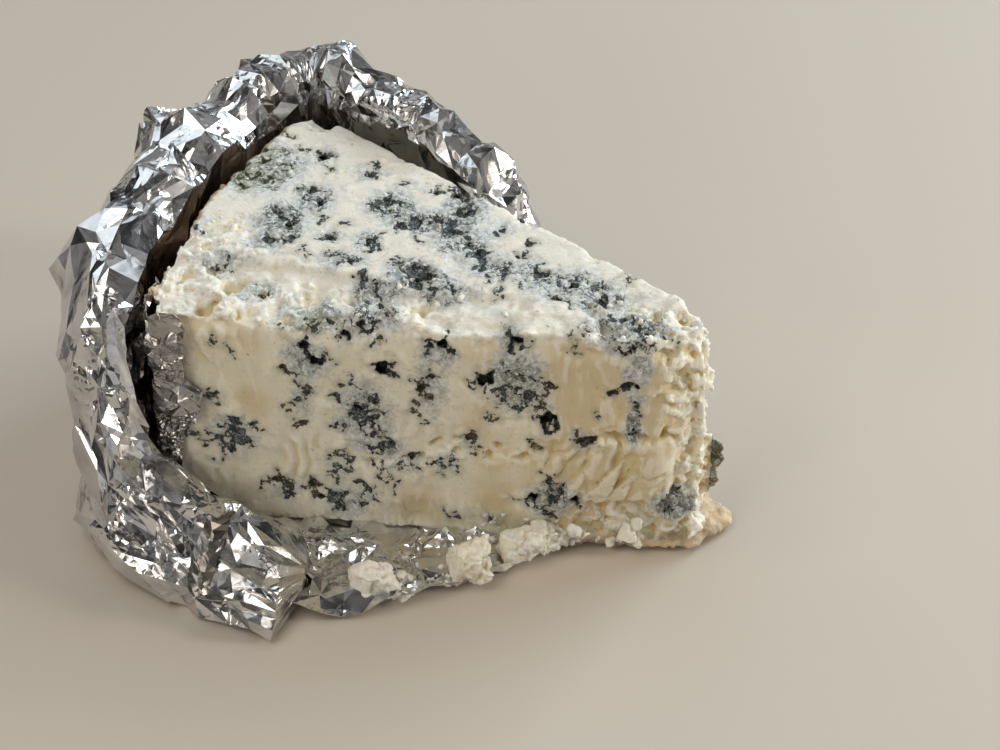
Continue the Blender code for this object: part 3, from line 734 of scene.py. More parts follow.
    # inside the blots a greyer core, crossed by dark veins; holes stay near-black, partly their dark mould, partly
    # painted shade of their depth
    veins = calc(tree, "ABSOLUTE", calc(tree, "SUBTRACT", noiseAt(tree, place, 0.75, 1.0, 0.5), 0.5))
    hollow = calc(tree, "MULTIPLY", ramp(tree, tone, 0.12, 0.2), ramp(tree, tone, 0.42, 0.36))
    core = calc(tree, "MULTIPLY", ramp(tree, edge, 0.18, 0.55), ramp(tree, veins, 0.015, 0.07))
    core = calc(tree, "MULTIPLY", core, calc(tree, "MULTIPLY_ADD", hollow, -0.95, 0.95))
    coreColour = blendColours(tree, brown, paste["coreBlue"], paste["coreBrown"])
    coreColour = blendColours(tree, ramp(tree, mottle, 0.45, 0.68), coreColour, paste["bloomPale"])
    inkColour = blendColours(tree, core, inkColour, coreColour)
    colour = blendColours(tree, ink, colour, inkColour)
    # rind: beige and brown skin with grey mould on it
    rindColour = blendColours(tree, ramp(tree, skin, 0.4, 0.66), paste["rindBeige"], paste["rindBrown"])
    rindColour = blendColours(tree, ramp(tree, calc(tree, "ADD", skin, mottle), 1.02, 1.16), rindColour, paste["rindGrey"])
    # browner where the rind's warmth is high, at the foot: partly dirt, partly painted contact shadow
    rindColour = blendColours(tree, calc(tree, "MULTIPLY", warmthAndShade, 0.75), rindColour, paste["rindBrown"])
    pale = calc(tree, "MULTIPLY", crumbly, ramp(tree, ragged, 0.36, 0.56))
    rindColour = blendColours(tree, calc(tree, "MULTIPLY", pale, 0.85), rindColour, paste["rindPale"])
    rindColour = blendColours(tree, ramp(tree, warmthAndShade, 0.0, 0.6, 0.4, 0.0), rindColour, paste["rindPale"])
    fringe = calc(tree, "MULTIPLY", ramp(tree, rind, 0.08, 0.3), ramp(tree, rind, 0.98, 0.7))
    rindColour = blendColours(tree, calc(tree, "MULTIPLY", fringe, ramp(tree, ragged, 0.42, 0.5)), rindColour, paste["rindPurple"])
    skinShare = calc(tree, "MULTIPLY", rind, calc(tree, "MULTIPLY_ADD", ink, -0.8, 0.95))
    colour = blendColours(tree, skinShare, colour, rindColour)
    tree.links.new(colour, shader.inputs["Base Color"])
    # waxy where cut, duller on crumbs, mould and rind
    dull = calc(tree, "MAXIMUM", calc(tree, "MULTIPLY", bloomMask, 0.3), calc(tree, "MULTIPLY", rind, 0.2))
    gloss = ramp(tree, mottle, 0.3, 0.7, 0.31, 0.44)
    tree.links.new(calc(tree, "ADD", gloss, dull), shader.inputs["Roughness"])
    shader.inputs["Specular IOR Level"].default_value = 0.45
    shader.inputs["Subsurface Weight"].default_value = 0.28
    shader.inputs["Subsurface Radius"].default_value = (1.0, 0.62, 0.30)
    shader.inputs["Subsurface Scale"].default_value = 1.3 * mm
    fine = noiseAt(tree, place, 0.5, 1.0, 0.6)
    drawn = noiseAt(tree, place, 1.5, 2.5, 0.6, (0.5, 1.0, 1.0))
    relief = bump(tree, drawn, 0.3, ramp(tree, warmthAndShade, 0.1, 0.4, 0.8, 0.25))
    tree.links.new(bump(tree, fine, 0.16, 0.6, relief), shader.inputs["Normal"])
    return material


print("cheese")
pasteMaterial = makePasteMaterial()
cheeseSurface = makeCheese(pasteMaterial)

# lumps and crumbs

crumbs = {
    "lumpVoxel": 0.28,
    "lumpSeams": 0.9,
    # seed, share of the box's height, how bloomed, how yellow, how pale: how much painted highlight colour its crests
    # get
    "lumps": {
        "lump_square": (1, 0.95, 0.1, 0.35, 0.0),
        # the flat lump gets no yellow and more pale, a painted highlight for the brighter light that falls on it
        "lump_flat": (2, 0.8, 0.1, 0.0, 0.08),
        "lump_long": (3, 0.95, 0.55, 0.2, 0.03),
    },
    "onTop": 240,
    "onTip": 60,
    "onFoil": 90,
}


def brokenOff(bm, seed, step, middle, half):
    # breaks a smooth solid up into slabs and grains, more so on its right; returns how crumbly each point is
    rough = []
    for vert in bm.verts:
        p = vert.co + Vector((seed * 13.0, 0, 0))
        crumbly = 0.35 + 0.65 * smoothStep(-0.6, 0.3, (vert.co.x - middle.x) / half.x + 0.6 * noise.noise(p / 3.0))
        slab, seam = slabsAt(p, 3.1)
        grain, fineSeam = slabsAt(p, 1.2)
        rough.append(crumbly)
        vert.co += vert.normal * step * crumbly * (0.7 * slab - 0.5 * seam + 0.35 * grain - 0.25 * fineSeam)
        vert.co += vert.normal * 0.4 * noise.noise(p / 3.5)
    return rough


def makeLump(node, material, seed, tall, bloomed, warmthAndShade, pale):
    low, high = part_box(node)
    low, high = (low - tipFoot) / mm, (high - tipFoot) / mm
    middle, half = (low + high) / 2, (high - low) / 2
    bm = bmesh.new()
    bmesh.ops.create_cube(bm, size=2, matrix=Matrix.LocRotScale(
        middle, Matrix.Rotation(0.2 * seed, 3, "Z"), Vector((half.x * 0.92, half.y * 0.9, half.z * tall))))
    # broken faces at odd angles
    draw = random.Random(seed)
    for _ in range(9):
        way = Vector((draw.uniform(-1, 1), draw.uniform(-1, 0.7), draw.uniform(-0.2, 1.0))).normalized()
        reach = max((vert.co - middle).dot(way) for vert in bm.verts)
        parts = bm.verts[:] + bm.edges[:] + bm.faces[:]
        cut = bmesh.ops.bisect_plane(
            bm, geom=parts, plane_co=middle + way * reach * draw.uniform(0.72, 0.86), plane_no=way, clear_outer=True)
        rim = [part for part in cut["geom_cut"] if isinstance(part, bmesh.types.BMEdge)]
        bmesh.ops.holes_fill(bm, edges=rim)
    bmesh.ops.recalc_face_normals(bm, faces=bm.faces)
    bm = remeshed(bm, crumbs["lumpVoxel"])
    for _ in range(3):
        bmesh.ops.smooth_vert(bm, verts=bm.verts, factor=0.5, use_axis_x=True, use_axis_y=True, use_axis_z=True)
    rough = brokenOff(bm, seed, crumbs["lumpSeams"], middle, half)
    for vert in bm.verts:
        vert.co.z = max(vert.co.z, low.z + 0.05)
    bm.normal_update()
    cavity = cavities(bm, 6)
    bloom = [bloomed * max(0.0, noise.noise(vert.co / 3.0) + 0.2) for vert in bm.verts]
    piece = finishPiece(node + "_crumbly", bm, material, [node])
    writeMap(piece, "mouldMap", [(value, -1.0, 0.0) for value in bloom])
    # pale lowers the cavity, which gives the lump more painted highlight colour
    writeMap(piece, "pasteMap", [(max(-1.0, min(1.0, depth - pale)), part, 0.0, warmthAndShade) for depth, part in zip(cavity, rough)])


def makeBall(subdivisions):
    bm = bmesh.new()
    bmesh.ops.create_icosphere(bm, subdivisions=subdivisions, radius=1)
    ball = bpy.data.meshes.new("ball")
    bm.to_mesh(ball)
    bm.free()
    return ball


smallBall, largeBall = makeBall(2), makeBall(3)


def addCrumb(bm, draw, middle, radius, floor=None):
    # one small crumb: a ball cut flat by a few planes and dented, flat too where it lies on the floor
    before = len(bm.verts)
    bm.from_mesh(largeBall if radius > 0.9 else smallBall)
    bm.verts.ensure_lookup_table()
    cuts = []
    for _ in range(7):
        normal = Vector([draw.gauss(0, 1) for _ in range(3)]).normalized()
        cuts.append((normal, draw.uniform(0.35, 0.8)))
    for vert in bm.verts[before:]:
        away = vert.co.copy()
        for normal, reach in cuts:
            over = away.dot(normal) - reach
            if over > 0:
                away -= normal * over
        away *= radius * (1 + 0.3 * noise.noise(away / 0.7 + middle))
        vert.co = middle + away
        if floor is not None:
            vert.co.z = max(vert.co.z, floor)


def makeCrumbs(material, surface):
    draw = random.Random(21)
    bm = bmesh.new()
    placed = 0
    for _ in range(20000):
        if placed >= crumbs["onTop"]:
            break
        x, y = draw.uniform(-88, 0), draw.uniform(-1, 50)
        hit, normal, face, distance = surface.ray_cast(Vector((x, y, 60)), Vector((0, 0, -1)))
        if hit is None or hit.z < 40:
            continue
        torn = max(tornAt(hit), 0.8 * lumpyAt(hit), 0.03)
        if draw.random() < torn:
            radius = mixed(0.22, 0.9, draw.random() ** 3)
            addCrumb(bm, draw, hit - normal * radius * 0.4, radius)
            placed += 1
    for _ in range(crumbs["onTip"]):
        y, z = draw.uniform(0, 9), mixed(3, 45, draw.random())
        hit, normal, face, distance = surface.ray_cast(Vector((30, y, z)), Vector((-1, 0, 0)))
        if hit is not None and rindAt(hit) < 0.3:
            radius = mixed(0.4, 1.2, draw.random() ** 2)
            addCrumb(bm, draw, hit - normal * radius * 0.55, radius)
    # stuck along the foot of the front cut, larger ones first
    for x, y, z, radius in ((-11.2, -1.4, 4.6, 2.1), (-9.4, -1.0, 6.4, 1.2), (-13.4, -1.6, 2.6, 1.1), (-19.5, -1.9, 5.2, 1.3),
                            (-21.2, -2.2, 3.2, 1.2), (-17.6, -1.6, 4.0, 0.9), (-33.0, -2.8, 2.4, 0.9), (-9.0, -1.4, 3.0, 1.0)):
        addCrumb(bm, draw, Vector((x, y, z)), radius)
    for _ in range(44):
        start = Vector((draw.uniform(-36, -8), -20, mixed(1.6, 6.0, draw.random() ** 1.6)))
        hit, normal, face, distance = surface.ray_cast(start, Vector((0, 1, 0)))
        if hit is not None:
            radius = mixed(0.3, 0.9, draw.random() ** 2)
            addCrumb(bm, draw, hit - normal * radius * 0.3, radius, 0.2)
    # loose on the foil, near the lumps
    for _ in range(crumbs["onFoil"]):
        angle, away = draw.uniform(0, 6.28), 11.0 * draw.random()
        x, y = -41 + 1.5 * away * math.cos(angle), -11.5 + 0.5 * away * math.sin(angle) + 0.15 * away * math.cos(angle)
        radius = mixed(0.16, 0.75, draw.random() ** 3)
        if -y < apronEdge(x) - 1.2:
            addCrumb(bm, draw, Vector((x, y, 1.35 + radius * 0.5)), radius, 1.15)
    # and what has come off the flat lump, at its right
    low, high = [(corner - tipFoot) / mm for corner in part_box("lump_flat")]
    for _ in range(12):
        x, y = high.x + draw.uniform(-1.4, 2.2), mixed(low.y, high.y, draw.uniform(0.1, 0.8))
        radius = mixed(0.5, 1.4, draw.random())
        addCrumb(bm, draw, Vector((x, y, 1.3 + radius * 0.4)), radius, 1.15)
    bm.normal_update()
    bloom = [0.8 * max(0.0, noise.noise(vert.co / 5.0)) for vert in bm.verts]
    piece = finishPiece("crumbs_small", bm, material, ())
    writeMap(piece, "mouldMap", [(value, -1.0, 0.0) for value in bloom])
    # a fixed cavity of -0.08 gives every crumb painted highlight colour
    writeMap(piece, "pasteMap", [(-0.08, 1.0, 0.0, 0.2)] * len(bloom))


print("lumps")
for node, looks in crumbs["lumps"].items():
    makeLump(node, pasteMaterial, *looks)

# the foil

foil = {
    "pathOffset": 12.0,
    "frontRun": 25.0,
    "backRun": 52.0,
    "thickness": 0.1,
    "sharpFrom": 4,
    "calmSize": 12.0,
    "calmShare": 0.07,
}

# the collar along its way from the front end (0) to the tail (1):
# way, rim offset, rim height, shoulder offset, shoulder height, foot offset
collarStations = (
    (0.00, 13.0, 4.5, 20.5, 6.5, 27.5),
    (0.035, 8.5, 8.0, 17.5, 10.5, 26.5),
    (0.07, 5.0, 10.5, 14.0, 12.5, 24.5),
    (0.14, 3.2, 17.0, 11.5, 16.0, 19.0),
    (0.20, 5.0, 30.0, 11.5, 27.0, 14.0),
    (0.26, 4.8, 42.5, 14.0, 36.0, 12.0),
    (0.30, 4.5, 45.0, 16.0, 38.5, 12.0),
    (0.335, 4.4, 46.0, 20.5, 41.5, 12.0),
    (0.37, 4.2, 46.5, 16.5, 43.5, 12.0),
    (0.44, 4.0, 46.5, 16.5, 45.5, 12.0),
    (0.49, 4.0, 48.5, 19.0, 50.0, 12.0),
    (0.53, 4.0, 47.5, 15.0, 47.0, 12.0),
    (0.58, 4.2, 49.0, 15.0, 51.0, 12.0),
    (0.63, 4.3, 48.0, 12.0, 48.5, 12.0),
    (0.70, 5.0, 49.5, 10.5, 51.5, 11.5),
    (0.76, 4.8, 48.0, 10.0, 49.0, 11.2),
    (0.80, 4.5, 48.5, 10.0, 50.5, 11.0),
    (0.90, 4.0, 43.0, 9.5, 45.0, 10.0),
    (1.00, 4.0, 24.0, 8.5, 25.0, 9.0),
)


def collarFoot(way):
    # point on the wedge's outline and the direction away from it
    turn = foil["pathOffset"] * math.pi / 2
    rindRun = (wedge["wheelRadius"] + foil["pathOffset"]) * wedge["angle"]
    runs = (foil["frontRun"], turn, rindRun, turn, foil["backRun"])
    along = sum(runs) * way
    part = 0
    while part < 4 and along > runs[part]:
        along -= runs[part]
        part += 1
    share = min(1.0, along / runs[part])
    corner = Vector((leftCorner, 0, 0))
    if part == 0:
        return corner + Vector((foil["frontRun"] * (1 - share), 0, 0)), Vector((0, -1, 0))
    if part == 4:
        return backCorner - backCutWay * foil["backRun"] * share, backCutNormal
    angle = (-math.pi / 2 * (1 + share), math.pi - wedge["angle"] * share,
             math.pi - wedge["angle"] - math.pi / 2 * share)[part - 1]
    outward = Vector((math.cos(angle), math.sin(angle), 0))
    if part == 2:
        return wheelMiddle + wedge["wheelRadius"] * outward, outward
    return (corner if part == 1 else backCorner), outward


def collarStation(way):
    for before, after in zip(collarStations, collarStations[1:]):
        if way <= after[0]:
            share = smoothStep(before[0], after[0], way)
            return [mixed(a, b, share) for a, b in zip(before[1:], after[1:])]
    return collarStations[-1][1:]


def collarSection(way):
    # closed loop of offsets and heights: up the inner wall, over the rim, down the outside, back under
    rimOut, rimUp, shoulderOut, shoulderUp, footOut = collarStation(way)
    belly = max(footOut, 0.35 * footOut + 0.7 * shoulderOut)
    middle = (rimOut + shoulderOut) / 2
    return (
        (1.6, 0.3), (1.9, 0.35 * rimUp), (0.6 * rimOut + 0.9, 0.7 * rimUp), (rimOut - 0.2, rimUp - 1.6),
        (rimOut + 1.0, rimUp), (middle, (rimUp + shoulderUp) / 2 + 0.5), (shoulderOut - 1.0, shoulderUp),
        (shoulderOut + 0.2, shoulderUp - 2.2), (0.5 * shoulderOut + 0.5 * belly, 0.72 * shoulderUp),
        (belly, 0.45 * shoulderUp), (0.6 * belly + 0.4 * footOut, 0.2 * shoulderUp), (footOut, 0.3),
        (1.6, 0.3),
    )


def onLoop(section, share):
    # point at a share of the loop's length; its last side, under the collar, gets only the last 4%
    if share > 0.96:
        part = (share - 0.96) / 0.04
        return mixed(section[-2][0], section[-1][0], part), section[-1][1]
    lengths = [math.dist(a, b) for a, b in zip(section, section[1:-1])]
    along = sum(lengths) * share / 0.96
    for (a, b), length in zip(zip(section, section[1:]), lengths):
        if along <= length:
            return mixed(a[0], b[0], along / length), mixed(a[1], b[1], along / length)
        along -= length
    return section[-2]


def rimShare(way):
    # the rim's share of the loop's length
    section = collarSection(way)
    lengths = [math.dist(a, b) for a, b in zip(section, section[1:-1])]
    return 0.96 * sum(lengths[:4]) / sum(lengths)


def crumpled(width, depth, facet, heights, seed):
    # a flat sheet in u and v whose big facets are folded; z holds each point's height
    draw = random.Random(seed)
    bm = bmesh.new()
    columns, rows = max(2, round(width / facet)), max(2, round(depth / facet))
    bmesh.ops.create_grid(bm, x_segments=columns, y_segments=rows, size=0.5)
    bmesh.ops.scale(bm, vec=(width, depth, 1), verts=bm.verts)
    spread = facet * 0.4
    known = set()
    for level, height in enumerate(heights[:2]):
        if level:
            bmesh.ops.subdivide_edges(bm, edges=bm.edges, cuts=1, use_grid_fill=True)
            bmesh.ops.triangulate(bm, faces=bm.faces)
        for vert in bm.verts:
            if vert in known:
                continue
            known.add(vert)
            if not vert.is_boundary:
                vert.co.x += draw.uniform(-spread, spread)
                vert.co.y += draw.uniform(-spread, spread)
            vert.co.z += draw.uniform(-height, height)
        if not level:
            bmesh.ops.triangulate(bm, faces=bm.faces, quad_method="SHORT_EDGE")
        spread *= 0.5
    return bm


def laid(bm, width, depth, place, heights, seed, calmness=None):
    # carries the flat sheet to its place in space, where place(u, v) gives a point and u and v run from 0 to 1,
    # and then folds its facets into ever smaller ones, except where the sheet is calm
    draw = random.Random(seed + 50)
    across, along = bm.verts.layers.float.new("u"), bm.verts.layers.float.new("v")
    raised = []
    for vert in bm.verts:
        vert[across], vert[along] = vert.co.x / width + 0.5, vert.co.y / depth + 0.5
        raised.append(vert.co.z)
        vert.co = place(vert[across], vert[along])
    bm.normal_update()
    for vert, height in zip(bm.verts, raised):
        vert.co += vert.normal * height * (calmness(vert[across], vert[along]) if calmness else 1.0)
    known = set(bm.verts)
    for height in heights[2:]:
        bmesh.ops.subdivide_edges(bm, edges=bm.edges, cuts=1, use_grid_fill=True)
        bmesh.ops.triangulate(bm, faces=bm.faces)
        bm.normal_update()
        moves = []
        for vert in bm.verts:
            if vert in known:
                continue
            known.add(vert)
            spot = vert.co / foil["calmSize"] + Vector((0, 0, seed * 9.0))
            busy = smoothStep(-0.05, 0.45, noise.noise(spot) + draw.uniform(-0.2, 0.2))
            calm = calmness(vert[across], vert[along]) if calmness else 1.0
            moves.append((vert, vert.normal * draw.uniform(-height, height) * mixed(foil["calmShare"], 1.0, busy) * calm))
        for vert, move in moves:
            vert.co += move
    for vert in bm.verts:
        vert.co.z = max(vert.co.z, 0.12)
    return bm


def thickened(bm):
    # gives a sheet its thickness, away from its faces
    bmesh.ops.recalc_face_normals(bm, faces=bm.faces)
    bm.normal_update()
    raised = bmesh.ops.extrude_face_region(bm, geom=bm.faces[:], use_keep_orig=True)["geom"]
    bm.normal_update()
    for part in raised:
        if isinstance(part, bmesh.types.BMVert):
            part.co += part.normal * foil["thickness"]
    bmesh.ops.recalc_face_normals(bm, faces=bm.faces)
    return bm


def makeRoll(name, material, way, size, facet, heights, seed, replaced=()):
    # a closed roll of crumpled foil along a stretch of the collar
    length, loop = size

    def place(u, v):
        here = mixed(way[0], way[1], u)
        foot, outward = collarFoot(here)
        out, up = onLoop(collarSection(here), v)
        fromEnd = min(1.0, min(u, 1 - u) * length / 4.0)
        fullness = mixed(0.45, 1.0, math.sqrt(fromEnd * (2 - fromEnd)))
        out = mixed(foil["pathOffset"] * 0.9, out, fullness)
        up = max(0.3, mixed(0.3 * collarStation(here)[1], up, fullness))
        lift = 1.3 * noise.noise(Vector((here * 16.0, 0, seed))) * smoothStep(6, 26, up)
        return foot + outward * out + Vector((0, 0, up + lift))

    def calmness(u, v):
        closed = smoothStep(0.0, 0.05, v) * (1 - smoothStep(0.92, 0.96, v))
        ends = smoothStep(0.0, 0.02, u) * (1 - smoothStep(0.98, 1.0, u))
        return closed * mixed(0.4, 1.0, ends) * mixed(0.45, 1.0, smoothStep(0.3, 0.5, v))

    bm = laid(crumpled(length, loop, facet, heights, seed), length, loop, place, heights, seed, calmness)
    bmesh.ops.remove_doubles(bm, verts=bm.verts, dist=0.02)
    bmesh.ops.holes_fill(bm, edges=[edge for edge in bm.edges if edge.is_boundary], sides=0)
    bmesh.ops.triangulate(bm, faces=[face for face in bm.faces if len(face.verts) > 4])
    # the inner wall is painted dark brown: painted shadow of the narrow gap and painted reflection of the rind it faces
    across, along = bm.verts.layers.float["u"], bm.verts.layers.float["v"]
    foilMap = []
    for vert in bm.verts:
        here = mixed(way[0], way[1], vert[across])
        inner = 1 - smoothStep(0.6, 0.95, vert[along] / rimShare(here))
        foilMap.append((0.0, inner * smoothStep(0.10, 0.18, here) * mixed(0.85, 0.4, smoothStep(0.46, 0.56, here)), 0.0))
    piece = finishPiece(name, bm, material, replaced, foil["sharpFrom"])
    writeMap(piece, "foilMap", foilMap)


def makeFlap(name, material, width, depth, place, facet, heights, seed, darkAndDull=0.0, calm=0.0):
    # a thin loose sheet of foil
    bm = laid(crumpled(width, depth, facet, heights, seed), width, depth, place, heights, seed)
    piece = finishPiece(name, thickened(bm), material, (), foil["sharpFrom"])
    writeMap(piece, "foilMap", [(darkAndDull, 0.0, calm)] * len(piece.data.vertices))


def leftFlapPlace(u, v):
    # folded out over the left shoulder, with a drooping ragged hem
    way = mixed(0.17, 0.56, u)
    rimOut, rimUp, shoulderOut, shoulderUp, footOut = collarStation(way)
    foot, outward = collarFoot(way)
    hem = 1.0 + 0.22 * noise.noise(Vector((way * 21.0, 3.0, 1.0))) + 0.1 * noise.noise(Vector((way * 70.0, 1.0, 5.0)))
    reach = v * hem
    droop = smoothStep(0.55, 1.25, reach)
    out = mixed(rimOut - 0.6, shoulderOut + 2.4, reach) - 1.6 * droop
    up = mixed(rimUp + 0.7, shoulderUp + 1.2, reach) + 1.4 * math.sin(math.pi * min(1.0, reach)) - 7.0 * droop
    if v < 0.08:
        up -= (0.08 - v) * 30
    return foot + outward * out + Vector((0, 0, up))


def backBandPlace(u, v):
    # the rim at the back, turned over outwards as a narrow band
    way = mixed(0.55, 0.985, u)
    taper = smoothStep(0.0, 0.16, u) * mixed(0.6, 1.0, 1 - smoothStep(0.93, 1.0, u))
    rimOut, rimUp, shoulderOut, shoulderUp, footOut = collarStation(way)
    foot, outward = collarFoot(way)
    wave = noise.noise(Vector((way * 26.0, 7.0, 2.0)))
    angle = math.pi * mixed(1.15, -0.28, v)
    across = ((shoulderOut - rimOut) / 2 + 1.3) * mixed(0.5, 1.0, taper)
    middleUp = max(rimUp, shoulderUp) - 1.6 + 1.1 * wave - 4.0 * (1 - taper)
    out = (rimOut + shoulderOut) / 2 + 0.2 + across * math.cos(angle)
    up = middleUp + (3.6 + 0.8 * wave) * math.sin(angle)
    if angle < 0:
        up -= 3.0 * smoothStep(0, 0.9, -angle) * (1 + 0.6 * noise.noise(Vector((way * 60, 2, 2))))
    return foot + outward * out + Vector((0, 0, up))


def pleatPlace(u, v):
    # a pleat pinched down the outside of the roll in front
    here = 0.062 + 0.022 * u + 0.012 * v
    foot, outward = collarFoot(here)
    out, up = onLoop(collarSection(here), mixed(0.40, 0.80, v))
    return foot + outward * (out + 0.5 + 1.5 * math.sin(math.pi * u)) + Vector((0, 0, up + 0.6))


cornerTears = ((0.0, 3.0), (14.0, 3.6), (20.0, 3.8), (24.0, 7.6), (28.0, 7.8), (33.0, 5.0), (38.0, 6.2), (46.0, 6.0))


def cornerLayerPlace(u, v):
    # a finely creased strip that hugs the wedge's front left edge, its right edge torn
    up = mixed(1.2, 43.8 + 0.8 * noise.noise(Vector((u * 4.0, 1, 1))), v)
    tear = cornerTears[-1][1]
    for before, after in zip(cornerTears, cornerTears[1:]):
        if before[0] <= up <= after[0]:
            tear = mixed(before[1], after[1], (up - before[0]) / (after[0] - before[0]))
            break
    tear += 1.3 * noise.noise(Vector((0, up / 3.2, 3.0))) + 0.7 * noise.noise(Vector((0, up / 1.1, 3.0)))
    along = mixed(-9.0, tear, u)
    if along < 0:
        lean = along * along / (2 * wedge["wheelRadius"])
        return Vector((leftCorner - 0.75 + lean + 0.4 * smoothStep(-1.2, 0, along), -along - 0.5, up))
    lifted = 0.5 * smoothStep(0.5, 1.0, u) * (0.5 + noise.noise(Vector((4, up / 4.0, 1))))
    return Vector((leftCorner - 0.3 + along, -0.85 - 0.05 * along - lifted, up))


apron = {
    "left": -68.0,
    "right": -25.5,
    # front edge: how far along, and how far in front of the wedge
    "edge": ((-68.0, 20.5), (-60.0, 21.8), (-54.0, 20.8), (-46.0, 17.6), (-37.0, 13.6), (-31.0, 9.6), (-25.5, 1.5)),
}


def apronEdge(x):
    for before, after in zip(apron["edge"], apron["edge"][1:]):
        if x <= after[0]:
            return mixed(before[1], after[1], (x - before[0]) / (after[0] - before[0]))
    return apron["edge"][-1][1]


def apronPlace(u, v):
    # flat in front of the wedge, its edge scalloped and curled up
    x = mixed(apron["left"], apron["right"], u)
    front = apronEdge(x) + 0.9 * noise.noise(Vector((x / 2.6, 5, 5))) + 0.7 * noise.noise(Vector((x / 6.0, 2, 9)))
    y = mixed(5.0, -front, v)
    toEdge = front + y
    curl = 1.9 * (1 - smoothStep(0.0, 2.6, toEdge)) * (0.65 + 0.6 * noise.noise(Vector((x / 4.2, 1, 2))))
    angle = math.atan2(y + 6.0, x + 45.0)
    star = abs(math.sin(angle * 4.5 + 0.9 * noise.noise(Vector((x, y, 0)) / 9.0)))
    fromStar = math.hypot(y + 6.0, x + 45.0)
    up = 0.95 + 1.1 * (star - 0.5) * smoothStep(0.5, 7, fromStar) * smoothStep(-1.5, -4.0, y) + max(0.0, curl)
    return Vector((x, y, up))


def dents(tree, place, size):
    # a low pyramid on each cell, up or down by the cell's own amount
    cells = {"Vector": place, "Scale": 1.0 / size}
    toEdge = addNode(tree, "ShaderNodeTexVoronoi", {"feature": "DISTANCE_TO_EDGE"}, cells).outputs["Distance"]
    own = addNode(tree, "ShaderNodeTexVoronoi", {"feature": "F1"}, cells).outputs["Color"]
    own = addNode(tree, "ShaderNodeSeparateColor", inputs={"Color": own}).outputs[0]
    return calc(tree, "MULTIPLY", toEdge, calc(tree, "MULTIPLY_ADD", own, 2.6, -1.3))


def makeFoilMaterial():
    material, tree, shader, place = newMaterial("aluminiumFoil")
    foilMap = addNode(tree, "ShaderNodeAttribute", {"attribute_name": "foilMap"})
    foilMap = addNode(tree, "ShaderNodeSeparateColor", inputs={"Color": foilMap.outputs["Color"]})
    darkAndDull, paintedGapShade, calm = foilMap.outputs[0], foilMap.outputs[1], foilMap.outputs[2]
    smudge = noiseAt(tree, place, 6.0, 3.0)
    # the foil's grey is kept darker than real foil, a painted dimmer reflection of its surroundings; smudges vary it
    colour = blendColours(tree, ramp(tree, smudge, 0.35, 0.7), (0.76, 0.76, 0.77), (0.60, 0.595, 0.595))
    # darker and a little rougher on the corner strip and the pleat; the darker base stands in for the darker
    # reflections and shade they show
    colour = blendColours(tree, darkAndDull, colour, (0.25, 0.23, 0.215))
    # dark brown on the inner wall: painted gap shadow and painted rind reflection
    colour = blendColours(tree, paintedGapShade, colour, (0.15, 0.112, 0.092))
    tree.links.new(colour, shader.inputs["Base Color"])
    shader.inputs["Metallic"].default_value = 1.0
    rough = ramp(tree, smudge, 0.3, 0.7, 0.11, 0.24)
    tree.links.new(calc(tree, "MULTIPLY_ADD", darkAndDull, 0.1, rough), shader.inputs["Roughness"])
    # shallow flat-sided dents on irregular cells, large ones everywhere and small ones in places
    busy = calc(tree, "SUBTRACT", 1.0, calm)
    large = calc(tree, "MULTIPLY", busy, ramp(tree, smudge, 0.38, 0.6, 0.35, 1.0))
    small = calc(tree, "MULTIPLY", busy, ramp(tree, noiseAt(tree, place, 9.0, 1.0), 0.46, 0.58, 0.08, 0.9))
    folds = bump(tree, dents(tree, place, 4.2), 0.75, large)
    folds = bump(tree, dents(tree, place, 1.3), 0.3, small, folds)
    tree.links.new(folds, shader.inputs["Normal"])
    return material


def makeFoil(material):
    makeRoll("foil_collar", material, (0.19, 1.0), (170, 118), 11.0, (2.4, 1.2, 0.5, 0.15), 3, ["foil_wrap"])
    makeRoll("foil_front", material, (0.0, 0.27), (62, 78), 9.0, (2.1, 1.1, 0.5, 0.15), 8)
    makeFlap("foil_flap_left", material, 90, 24, leftFlapPlace, 9.0, (1.0, 0.6, 0.3, 0.08), 5, calm=0.55)
    makeFlap("foil_band_back", material, 96, 18, backBandPlace, 5.0, (0.8, 0.6, 0.3, 0.08), 6)
    makeFlap("foil_corner", material, 15, 42, cornerLayerPlace, 2.4, (0.5, 0.5, 0.3, 0.14), 9, 0.6)
    makeFlap("foil_pleat", material, 5, 26, pleatPlace, 3.0, (0.2, 0.15, 0.05, 0.03), 15, 1.0)
    makeFlap("foil_apron", material, 42, 27, apronPlace, 5.5, (1.1, 0.8, 0.35, 0.08), 12)


print("foil")
foilMaterial = makeFoilMaterial()
makeFoil(foilMaterial)

print("crumbs")
makeCrumbs(pasteMaterial, cheeseSurface)

# stage, light and camera

stage = {
    "floorColour": (0.56, 0.50, 0.43),
    "cameraFromTip": (-1.3, -276.5, 277.7),
    "cameraTurn": (49.0, 0.0, 6.32),
    "lens": 85.0,
}


def makeFloor():
    bm = bmesh.new()
    bmesh.ops.create_circle(bm, cap_ends=True, segments=64, radius=2.0)
    mesh = bpy.data.meshes.new("floor")
    bm.to_mesh(mesh)
    bm.free()
    material, tree, shader, place = newMaterial("paleFloor")
    shader.inputs["Base Color"].default_value = (*stage["floorColour"], 1.0)
    shader.inputs["Roughness"].default_value = 0.6
    mesh.materials.append(material)
    floor = bpy.data.objects.new("floor", mesh)
    bpy.context.scene.collection.objects.link(floor)


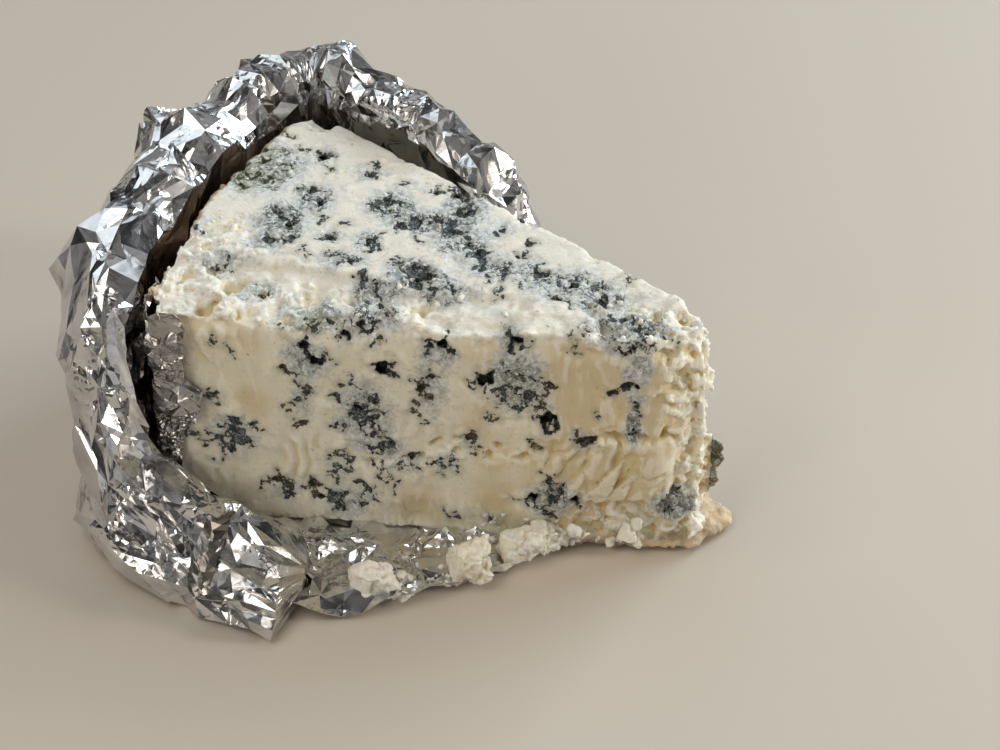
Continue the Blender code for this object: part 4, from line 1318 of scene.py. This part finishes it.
def addLight(name, place, size, power, colour, target=(0.0, 0.0, 0.02)):
    lamp = bpy.data.lights.new(name, "AREA")
    lamp.shape = "RECTANGLE"
    lamp.size, lamp.size_y = size
    lamp.energy = power
    lamp.color = colour
    light = bpy.data.objects.new(name, lamp)
    light.location = place
    light.rotation_euler = (Vector(target) - Vector(place)).to_track_quat("-Z", "Y").to_euler()
    bpy.context.scene.collection.objects.link(light)


def makeStage():
    scene = bpy.context.scene
    makeFloor()
    addLight("window", (0.52, 0.50, 0.46), (0.45, 0.36), 4.5, (0.80, 0.92, 1.0))
    addLight("side", (0.62, 0.0, 0.26), (0.14, 0.14), 1.8, (1.0, 0.93, 0.80), (0.04, -0.01, 0.02))
    addLight("sky", (-0.25, 0.35, 0.75), (0.8, 0.5), 1.5, (0.85, 0.94, 1.0))
    addLight("ceiling", (-0.30, -0.18, 0.62), (0.42, 0.42), 1.5, (1.0, 0.93, 0.84))
    addLight("room", (-0.28, -0.50, 0.32), (0.28, 0.2), 0.56, (1.0, 0.90, 0.76))
    # the room around is brighter near the horizon and has soft light and dark stretches for the foil to mirror
    world = bpy.data.worlds.new("room")
    world.use_nodes = True
    tree = world.node_tree
    way = addNode(tree, "ShaderNodeTexCoord").outputs["Generated"]
    towards = addNode(tree, "ShaderNodeSeparateXYZ", inputs={"Vector": way})
    height = towards.outputs["Z"]
    stretches = addNode(tree, "ShaderNodeTexNoise", inputs={"Vector": way, "Scale": 2.6, "Detail": 1.0}).outputs["Fac"]
    level = calc(tree, "MULTIPLY", ramp(tree, height, 0.0, 0.8, 0.30, 0.12), ramp(tree, stretches, 0.40, 0.62, 0.12, 2.0))
    level = calc(tree, "MULTIPLY", level, ramp(tree, towards.outputs["X"], -0.8, -0.1, 0.4, 1.0))
    background = tree.nodes["Background"]
    background.inputs["Color"].default_value = (1.0, 0.97, 0.94, 1.0)
    tree.links.new(level, background.inputs["Strength"])
    scene.world = world
    scene.view_settings.view_transform = "Standard"
    lens = bpy.data.cameras.new("camera")
    lens.lens = stage["lens"]
    camera = bpy.data.objects.new("camera", lens)
    camera.location = tipFoot + Vector(stage["cameraFromTip"]) * mm
    camera.rotation_euler = [math.radians(turn) for turn in stage["cameraTurn"]]
    scene.collection.objects.link(camera)
    scene.camera = camera


print("stage")
makeStage()
